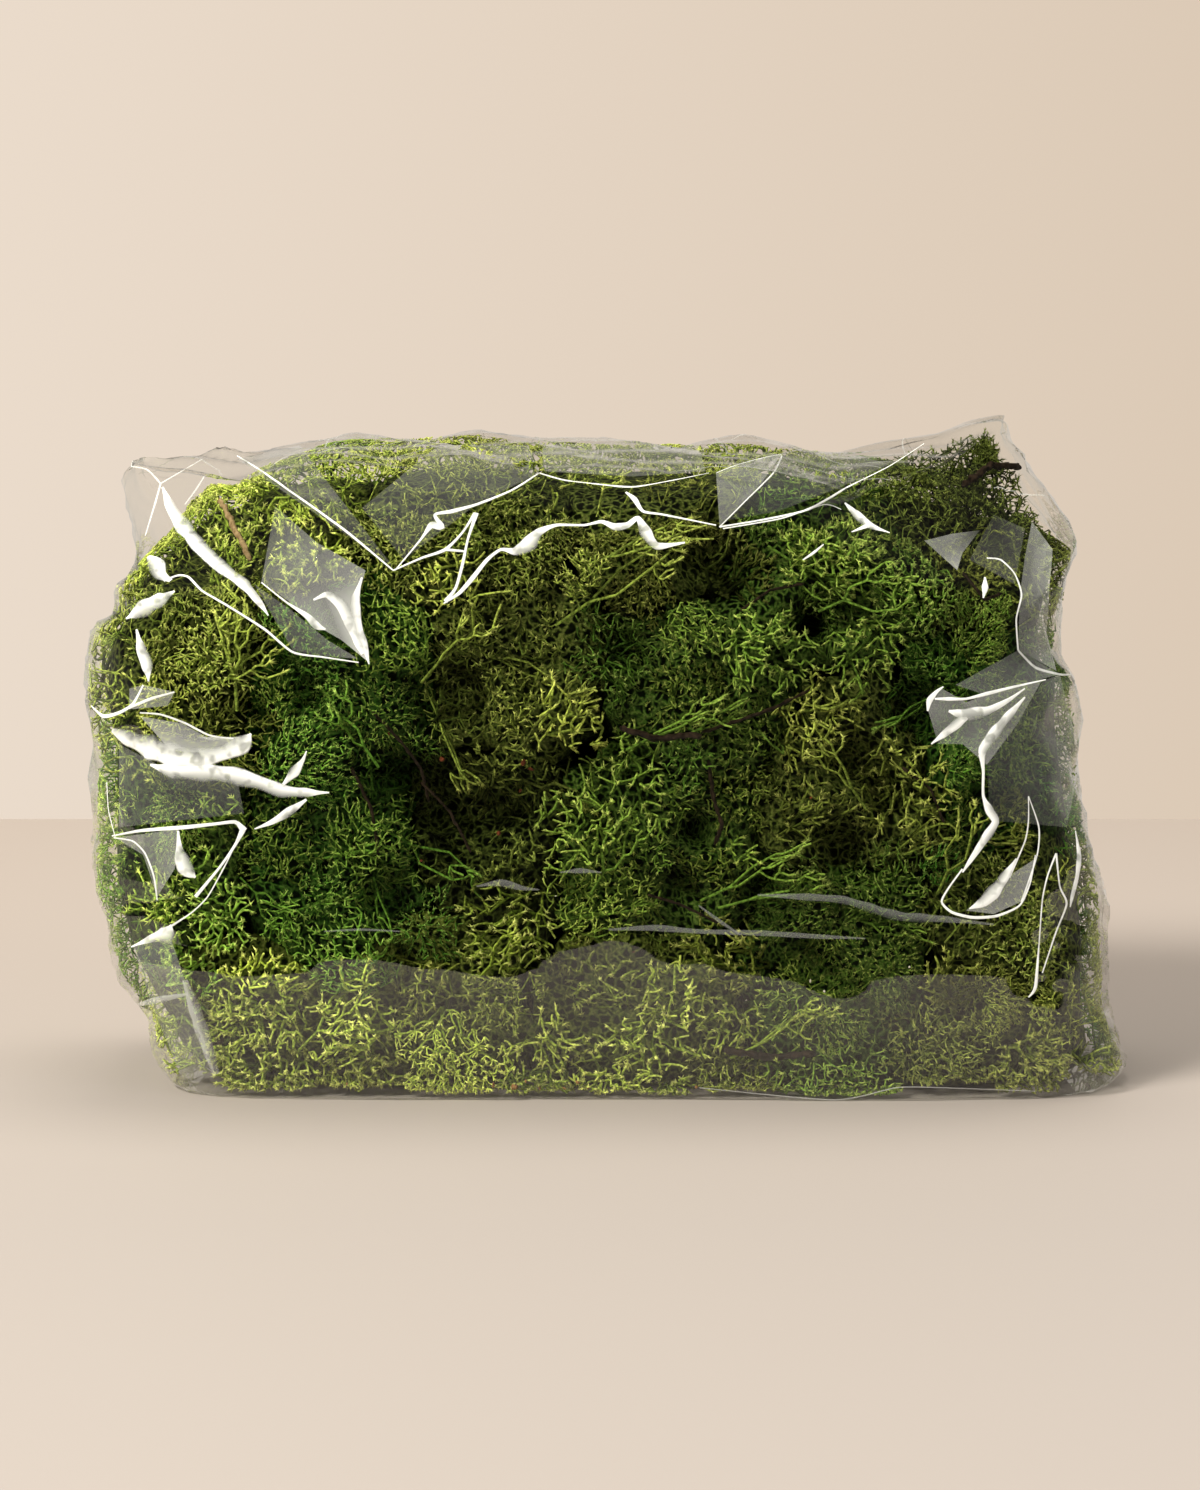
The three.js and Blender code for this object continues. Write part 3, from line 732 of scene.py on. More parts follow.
def prisms(starts, ends, radii, shades):
    """Three-sided branches, those that end in nothing closing in one point."""
    pointed = radii[:, 1] == 0
    blunt = ~pointed
    way = unit(ends - starts)
    helper = np.where(np.abs(way[:, :1]) < 0.8, np.array([[1.0, 0, 0]]), np.array([[0, 1.0, 0]]))
    side = unit(np.cross(way, helper))
    other = np.cross(way, side)
    rings = []
    for end, radius in ((starts, radii[:, 0]), (ends, radii[:, 1])):
        for k in range(3):
            angle = 2 * math.pi * k / 3
            out = side * math.cos(angle) + other * math.sin(angle)
            rings.append(end + out * radius[:, None])
    rings = np.stack(rings, axis=1)
    tapers = np.concatenate([rings[pointed][:, :3], ends[pointed][:, None]], axis=1)
    points = np.concatenate([rings[blunt].reshape(-1, 3), tapers.reshape(-1, 3)])
    # Six triangles round a blunt branch, with six points, and three round a pointed one, with four.
    first = 6 * np.arange(blunt.sum())[:, None, None]
    walls = [[0, 1, 4], [0, 4, 3], [1, 2, 5], [1, 5, 4], [2, 0, 3], [2, 3, 5]]
    faces_blunt = (first + np.array(walls)[None]).reshape(-1, 3)
    first = 6 * blunt.sum() + 4 * np.arange(pointed.sum())[:, None, None]
    faces_pointed = (first + np.array([[0, 1, 3], [1, 2, 3], [2, 0, 3]])[None]).reshape(-1, 3)
    taper_shades = [np.repeat(shades[pointed][:, :1], 3, axis=1), shades[pointed][:, 1:]]
    taper_shades = np.concatenate(taper_shades, axis=1).reshape(-1, 4)
    shades = np.concatenate([np.repeat(shades[blunt], 3, axis=1).reshape(-1, 4), taper_shades])
    return points, np.concatenate([faces_blunt, faces_pointed]), shades


def sphere_grid(rings, turns):
    """Directions on a sphere and the triangles between them."""
    slope = np.linspace(0, math.pi, rings + 1)[1:-1]
    turn = np.linspace(0, 2 * math.pi, turns, endpoint=False)
    across = [np.outer(np.sin(slope), swing).ravel() for swing in (np.cos(turn), np.sin(turn))]
    grid = np.stack([*across, np.outer(np.cos(slope), np.ones(turns)).ravel()], axis=1)
    points = np.concatenate([[[0, 0, 1.0]], grid, [[0, 0, -1.0]]])
    faces = []
    last = len(points) - 1
    for j in range(turns):
        k = (j + 1) % turns
        faces.append((0, 1 + j, 1 + k))
        for i in range(rings - 2):
            a = 1 + i * turns
            b = a + turns
            faces += [(a + j, b + j, b + k), (a + j, b + k, a + k)]
        a = 1 + (rings - 2) * turns
        faces.append((a + k, a + j, last))
    return points, np.array(faces)


CORE_REACH = 44  # how far a tuft's dark inside may reach from its middle
# Painted shade: how bright the tuft's dark inside is painted, so that the gaps between the heads look dark.
PAINTED_SHADE_OF_CORE = 0.14
CORE_FRONT = -8  # a hollow sinks the dark inside back to here at most
# Single heads that stand in front of the rest: x, z, half width, how bright and how yellow.
PLACED_HEADS = (
    (-13.5, 112, 12, 1.5, 1.0), (-6, 78, 14, 1.15, 0.7), (-100, 36, 12, 1.2, 0.8), (10, 88, 13, 1.1, 0.6),
    (44, 131, 11, 1.15, 0.5), (64, 158, 14, 1.2, 0.6), (-46, 150, 12, 1.2, 0.9), (20, 30, 13, 1.15, 0.7),
    (-88, 170, 13, 1.1, 0.9), (-20, 14, 12, 1.1, 0.8), (75, 128, 11, 1.05, 0.6), (38, 72, 9, 1.1, 0.8),
)
# Sprays of long bare stems that lie along the front: foot x and z, end x and z, spread and count.
SPRAYS = (
    (-104, 112, -106, 143, 9, 16), (-112, 118, -95, 130, 7, 10), (-14, 136, 18, 158, 7, 14),
    (-8, 152, 24, 162, 5, 12), (27, 58, 54, 72, 5, 12), (32, 56, 62, 64, 4, 8), (-36, 36, -24, 50, 4, 8),
    (-30, 96, -8, 118, 4, 10), (60, 140, 84, 150, 6, 10), (-52, 120, -34, 140, 6, 10),
    (74, 84, 60, 104, 5, 10), (-4, 60, 6, 82, 5, 10), (94, 60, 104, 84, 5, 9), (-88, 14, -70, 34, 6, 10),
    (36, 12, 62, 26, 6, 10), (-64, 96, -78, 116, 5, 9), (4, 100, 30, 112, 5, 10),
)
# Bare stems that show in the hollows: foot x and z, end x and z, spread and count.
HOLLOW_STEMS = (
    (-104, 64, -88, 49, 4, 6), (-82, 69, -66, 74, 3, 5), (-62, 77, -38, 64, 4, 7),
    (-66, 64, -62, 48, 2, 4), (-90, 54, -74, 58, 3, 6), (-51, 118, -38, 90, 4, 8), (76, 70, 96, 74, 4, 7),
    (22, 104, 40, 112, 3, 6), (46, 158, 66, 145, 4, 8), (-24, 92, -4, 84, 3, 6), (96, 118, 78, 108, 4, 7),
    (70, 52, 92, 48, 4, 6), (-36, 128, -16, 122, 3, 6), (-10, 52, 14, 58, 3, 6),
    (100, 92, 108, 104, 3, 6),
)
SPRAY_DEPTH = 7.0  # how deep behind the front film a spray's foot lies
SPRAY_SPACING = 9.0
SPRAY_STOUTNESS = 1.6
SPRAY_BRIGHT = 1.02
SPRAY_YELLOW = 0.5
HOLLOW_SUNK = 5  # how much deeper the stems in the hollows lie
HOLLOW_BRIGHT = 1.1
# The moss of the right ear: where its stems come from, and a place in the tuft that it belongs to.
EAR_ROOT = np.array([90, 8, 156])
EAR_TUFT_PLACE = np.array([104, -27, 156])
EAR_SPACING = 1.9
EAR_HEADS = 32
EAR_HEAD_SIZE = 7  # half width of a head, and how deep its middle lies
EAR_HEAD_DEPTH = 4
EAR_DOME_SIZE = 8.0
EAR_GAP = 1.2  # from a branch to the film
EAR_LIT_TO = 98  # beyond this x the ear's moss is in shade
EAR_YELLOW = 0.05


def tangle_core(draw, number):
    """The dark matted inside of a tuft, painted dark as shade: it fills the tuft's own space and stays
    behind the heads.
    """
    ways, faces = sphere_grid(20, 30)
    middle = ROUGH_MIDDLES[number]
    # It reaches halfway to the middles of the tufts beside it, and no nearer to the film than its gap.
    steps = np.linspace(2, CORE_REACH, 43)
    reach = np.full(len(ways), float(CORE_REACH))
    for other in np.delete(np.arange(len(MIDDLES)), number):
        apart = ROUGH_MIDDLES[other] - middle
        facing = ways @ apart
        halfway = np.where(facing > 1e-6, (apart @ apart) / 2 / np.maximum(facing, 1e-6), CORE_REACH)
        reach = np.minimum(reach, halfway)
    probes = (middle + ways[:, None, :] * steps[None, :, None]).reshape(-1, 3)
    outside = block_size_within(to_block(probes - SHIFT), CORE_GAP) > 1
    outside = outside.reshape(len(ways), -1)
    way_out = np.where(outside.any(axis=1), steps[np.argmax(outside, axis=1)], CORE_REACH)
    reach = np.minimum(reach, way_out)
    lumps = 1 + 0.08 * np.sin(9 * ways[:, 0] + number) * np.sin(8 * ways[:, 2] + 2 * number)
    reach = reach * lumps * draw.uniform(0.94, 1.06, len(ways))
    shades = np.tile([0.0, PAINTED_SHADE_OF_CORE, 0.0, 1.0], (len(ways), 1))
    points = press_inside(middle + ways * reach[:, None], CORE_GAP)
    points[:, 1] = np.minimum(points[:, 1] + hollow_depth(points), np.maximum(points[:, 1], CORE_FRONT))
    return pinch_ears(points), faces, shades


def grow_head(draw, fuzzy, spacing, point, way, half, tips):
    """One head: stems from a foot inside the bag to its tips under the film."""
    branches = Branches()
    lean = draw.normal(0, 1, 3)
    lean = unit(lean - way * (lean @ way))
    foot = point - way * half * draw.uniform(0.7, 1.3) + lean * half * draw.uniform(0.0, 1.3)
    if fuzzy:
        # No net of stems: each tip has a short stem of its own with tiny tips all round it.
        ways = unit(tips - foot)
        feet = tips - unit(ways + draw.normal(0, 0.6, ways.shape)) * 1.3 * spacing
        branches.put(feet, tips, (FINEST * 1.6, FINEST), (0.4, 0.8))
        put_tips(draw, branches, tips, ways, 0.6 * spacing, 3, 0.9)
        put_tips(draw, branches, tips - ways * 0.6 * spacing, ways, 0.8 * spacing, 3, 0.9)
    elif len(tips) > 2:
        starts, ends = fork_to(draw, branches, foot, tips, spacing, 0.25)
        ways = unit(ends - starts)
        bud = min(0.62 * spacing, LONGEST_BUD)
        put_tips(draw, branches, ends, ways, bud, 3, 0.9)
        put_tips(draw, branches, (starts + ends) / 2, ways, 0.9 * bud, 2, 0.7)
    return branches.joined() if branches.rows else None


def behind_front(x, z, depth):
    """A point this deep behind the front film."""
    return np.array([x, -depth_at(np.array(x), np.array(z), -1) + depth, z]) + SHIFT * [0, 1, 0]


def grow_spray(draw, spray, sunk):
    """Long stems that lie along the film and fork near their ends."""
    x, z, end_x, end_z, spread, count = spray
    branches = Branches()
    foot = behind_front(x, z, SPRAY_DEPTH + sunk)
    shake = draw.normal(0, spread * 0.6, (count, 2))
    depths = draw.uniform(1.4, 4.5, count) + sunk
    tips = np.array([behind_front(end_x + a, end_z + b, c) for (a, b), c in zip(shake, depths)])
    starts, ends = fork_to(draw, branches, foot, tips, SPRAY_SPACING, 0.16)
    ways = unit(ends - starts)
    # Tiny tips at the end of each stem and halfway along its last piece.
    put_tips(draw, branches, ends, ways, 1.7, 4, 0.95)
    put_tips(draw, branches, (starts + ends) / 2, ways, 1.4, 3, 0.7)
    starts, ends, radii, ages = branches.joined()
    return starts, ends, radii * SPRAY_STOUTNESS, 0.35 + 0.6 * ages


def grow_ear(draw, sheet):
    """Lacy moss that reaches into the right ear and stands out against what is behind it."""
    ear = EARS[1]
    # A shaken grid over the top right corner of the cube, kept where the ear draws the film.
    a, c = (part.ravel() for part in np.meshgrid(np.linspace(0.45, 1, 56), np.linspace(0.55, 1, 46)))
    a, c = (np.clip(part + draw.uniform(-0.012, 0.012, part.size), 0, 1) for part in (a, c))
    pull = ear_pull(ear, a, c)
    a, c, pull = (part[pull > 0.02] for part in (a, c, pull))
    film = film_point(a, draw.uniform(-1, 0.5, a.size), c) + SHIFT
    root = EAR_ROOT + SHIFT
    middles = film[draw.permutation(len(film))[:EAR_HEADS]]
    owner, share = nearest(film, middles, np.full(EAR_HEADS, EAR_DOME_SIZE))
    # How far each tip stays back from the film, as a share of the way to the root.
    back = 0.03 + 0.18 * smoothstep(pull, 0.7, 1) + 0.05 * np.clip(share, 0, 1.3) ** 2
    back += draw.uniform(0, 0.05, len(film))
    tips = film + (root - film) * back[:, None]
    parts = []
    for number, middle in enumerate(middles):
        way = unit(middle - root)
        mine = tips[owner == number]
        if len(mine) < 4:
            continue
        place = middle - way * EAR_HEAD_DEPTH
        starts, ends, radii, ages = grow_head(draw, False, EAR_SPACING, place, way, EAR_HEAD_SIZE, mine)
        starts, ends = (keep_under(sheet, part, EAR_GAP) for part in (starts, ends))
        # Painted light on the ear's moss up to EAR_LIT_TO, and painted shade beyond it.
        bright = 1.15 if middle[0] < EAR_LIT_TO else draw.uniform(0.55, 0.8)
        parts.append(shaded_prisms(starts, ends, radii, ages, bright, EAR_YELLOW))
    return parts


def keep_under(sheet, points, gap):
    """Points outside the film sheet, or nearer to it than gap, moved back under it."""
    kept = []
    for point in points:
        place, normal = sheet.nearest(point)
        kept.append(point if (point - place) @ normal < -gap else place - normal * gap)
    return np.array(kept)


def warped(points):
    """Points shaken by a few millimetres, so that the edges between heads run unevenly."""
    x, y, z = points.T
    along_x = np.sin(z / 2.1 + 2 * np.sin(x / 4.7)) + 0.6 * np.sin(x / 1.3 + z / 1.7)
    along_y = np.sin(x / 2.9 + y / 2.3)
    along_z = np.sin(x / 2.4 + 2 * np.sin(z / 5.1)) + 0.6 * np.sin(z / 1.4 - x / 1.9)
    return points + 1.5 * np.stack([along_x, along_y, along_z], axis=1)


def in_light(points):
    """Painted shade: how bright the lichen is painted, darkest where it lies deepest under the film."""
    depth = (1 - block_size_within(to_block(points - SHIFT), FILM_GAP)) * HALF_SIZE[1]
    return np.clip(LIGHT_AT_FILM - LIGHT_LOST * depth, *LIGHT_RANGE)


def shaded_prisms(starts, ends, radii, ages, bright, yellow):
    """Branches as a mesh, coloured by their age, how bright they are, painted light and shade
    included, and how yellow.
    """
    shades = np.ones((len(starts), 2, 4))
    shades[..., 0] = ages
    shades[..., 1] = bright / 2
    shades[..., 2] = yellow
    return prisms(starts, ends, radii, shades)


def laid_in_bag(grown, bright, yellow):
    """A head's branches kept inside the film, with painted light and painted shade by where they lie in
    the bag: darker the deeper they lie, brighter to the left and low down.
    """
    starts, ends, radii, ages = grown
    starts = press_inside(starts, FILM_GAP)
    ends = press_inside(ends, FILM_GAP)
    light = np.stack([in_light(starts), in_light(ends)], axis=1)
    light *= along(PAINTED_LIGHT_ALONG, starts[:, :1]) * along(BRIGHT_UP, starts[:, 2:])
    starts = pinch_ears(starts)
    ends = pinch_ears(ends)
    return shaded_prisms(starts, ends, radii, ages, bright * light, YELLOWEST * yellow * ages)


def all_heads(draw):
    """The scattered heads, and after them the placed ones, which clear room for themselves."""
    heads = head_places(draw)
    for x, z, half, _, _ in PLACED_HEADS:
        place = behind_front(x, z, 0.5)
        heads = [head for head in heads if np.linalg.norm(head[0] - place) > PLACED_ROOM * half]
    for x, z, half, _, _ in PLACED_HEADS:
        heads.append((behind_front(x, z, 0.0), np.array([0.0, -1.0, 0.0]), half))
    return heads


def tips_of_heads(draw, heads, recess):
    """All tips, and the number of the head that each belongs to. A head is a dome of small lobes,
    and only a placed head stands over a hollow."""
    places = np.array([head[0] for head in heads])
    halves = np.array([head[2] for head in heads])
    tips, ways = scatter(draw, TIP_SPACING)
    owner, share = nearest(warped(tips), places, halves)
    lobe_count = len(tips) // TIPS_IN_LOBE
    lobe_places = tips[draw.permutation(len(tips))[:lobe_count]]
    _, lobe_share = nearest(warped(tips), lobe_places, np.full(lobe_count, LOBE_SIZE))
    # The domes are flatter near the ground, where the moss is pressed.
    dome = DOME * (0.25 + 0.75 * smoothstep(tips[:, 2], 0, 24))
    depth = recess[owner] + dome * halves[owner] * np.clip(share, 0, 1.3) ** 2
    depth += LOBE_DOME * np.clip(lobe_share, 0, 1.5) ** 2 + draw.exponential(RAGGEDNESS, len(tips))
    depth *= np.where(np.abs(ways[:, 1]) < SIDEWAYS, RIM_DEPTH, 1)
    scattered = owner < len(heads) - len(PLACED_HEADS)
    depth += np.where(scattered, hollow_depth(tips), 0)
    return press_inside(tips - ways * depth[:, None], FILM_GAP), owner


def grow_heads(draw):
    """Every head's tuft, its branches, and how bright and how yellow it is."""
    heads = all_heads(draw)
    placed_from = len(heads) - len(PLACED_HEADS)
    recess = np.array([DEEPEST_HEAD[side_of(way)] * draw.random() ** 2 for _, way, _ in heads])
    recess[placed_from:] = 0
    tips, owner = tips_of_heads(draw, heads, recess)
    rows = []
    for number, (point, way, half) in enumerate(heads):
        name = tuft_at(point)
        fuzzy_share, airy_share = FUZZY_AND_AIRY[SLOT_OF[name]]
        placed = number >= placed_from
        fuzzy = draw.random() < fuzzy_share and not placed
        airy = placed or (not fuzzy and draw.random() < airy_share)
        place = point - way * recess[number]
        mine = tips[owner == number]
        spacing = TIP_SPACING[side_of(way)]
        if airy:
            mine = mine[draw.random(len(mine)) < 1 / AIRY_SPACING**2]
            spacing *= AIRY_SPACING
        grown = grow_head(draw, fuzzy, spacing, place, way, half, mine)
        bright, yellow = draw.uniform(0.7, 1.25), draw.random()
        if placed:
            bright, yellow = PLACED_HEADS[number - placed_from][3:]
        if grown:
            starts, ends, radii, ages = grown
            stout = radii * (AIRY_STOUTNESS if airy else 1)
            rows.append((name, (starts, ends, stout, ages), bright, yellow))
    return rows


def grow_moss(sheet):
    """Every tuft as one piece: its dark inside, its heads and its sprays, and the ear's moss in one."""
    draw = np.random.default_rng(MOSS_SEED)
    rows = grow_heads(draw)
    for sprays, sunk, bright in ((SPRAYS, 0, SPRAY_BRIGHT), (HOLLOW_STEMS, HOLLOW_SUNK, HOLLOW_BRIGHT)):
        for spray in sprays:
            name = tuft_at(behind_front(*spray[:2], SPRAY_DEPTH))
            rows.append((name, grow_spray(draw, spray, sunk), bright, SPRAY_YELLOW))
    ear_parts = grow_ear(draw, sheet)
    ear_tuft = tuft_at(EAR_TUFT_PLACE)
    for number, name in enumerate(TUFT_NAMES):
        parts = [tangle_core(draw, number)]
        parts += ear_parts if name == ear_tuft else []
        parts += [laid_in_bag(*row[1:]) for row in rows if row[0] == name]
        piece = new_mesh(name + "_grown", *join(parts))
        dress(piece, LICHENS[SLOT_OF[name]], SLOT_OF[name], name)


# ------------------------------------------------------------------ the film

# Folds and facets are given as the camera's eye sees them: x and height, in units of which the view
# is MEASURED_HEIGHT high, with MEASURED_MIDDLE in its middle.
EYE = np.array([-1.5, -1069, 230])
AIM = np.array([-1.5, -55, 103.3])
LENS = 88
SENSOR = 36
MEASURED_HEIGHT = 429.4
MEASURED_MIDDLE = (-1.44, 103.7)
MEASURE = SENSOR / LENS / MEASURED_HEIGHT  # how far one unit is across the view, at a distance of one
FORWARD = unit(AIM - EYE)
RIGHTWARD = unit(np.cross(FORWARD, [0, 0, 1]))
UPWARD = np.cross(RIGHTWARD, FORWARD)

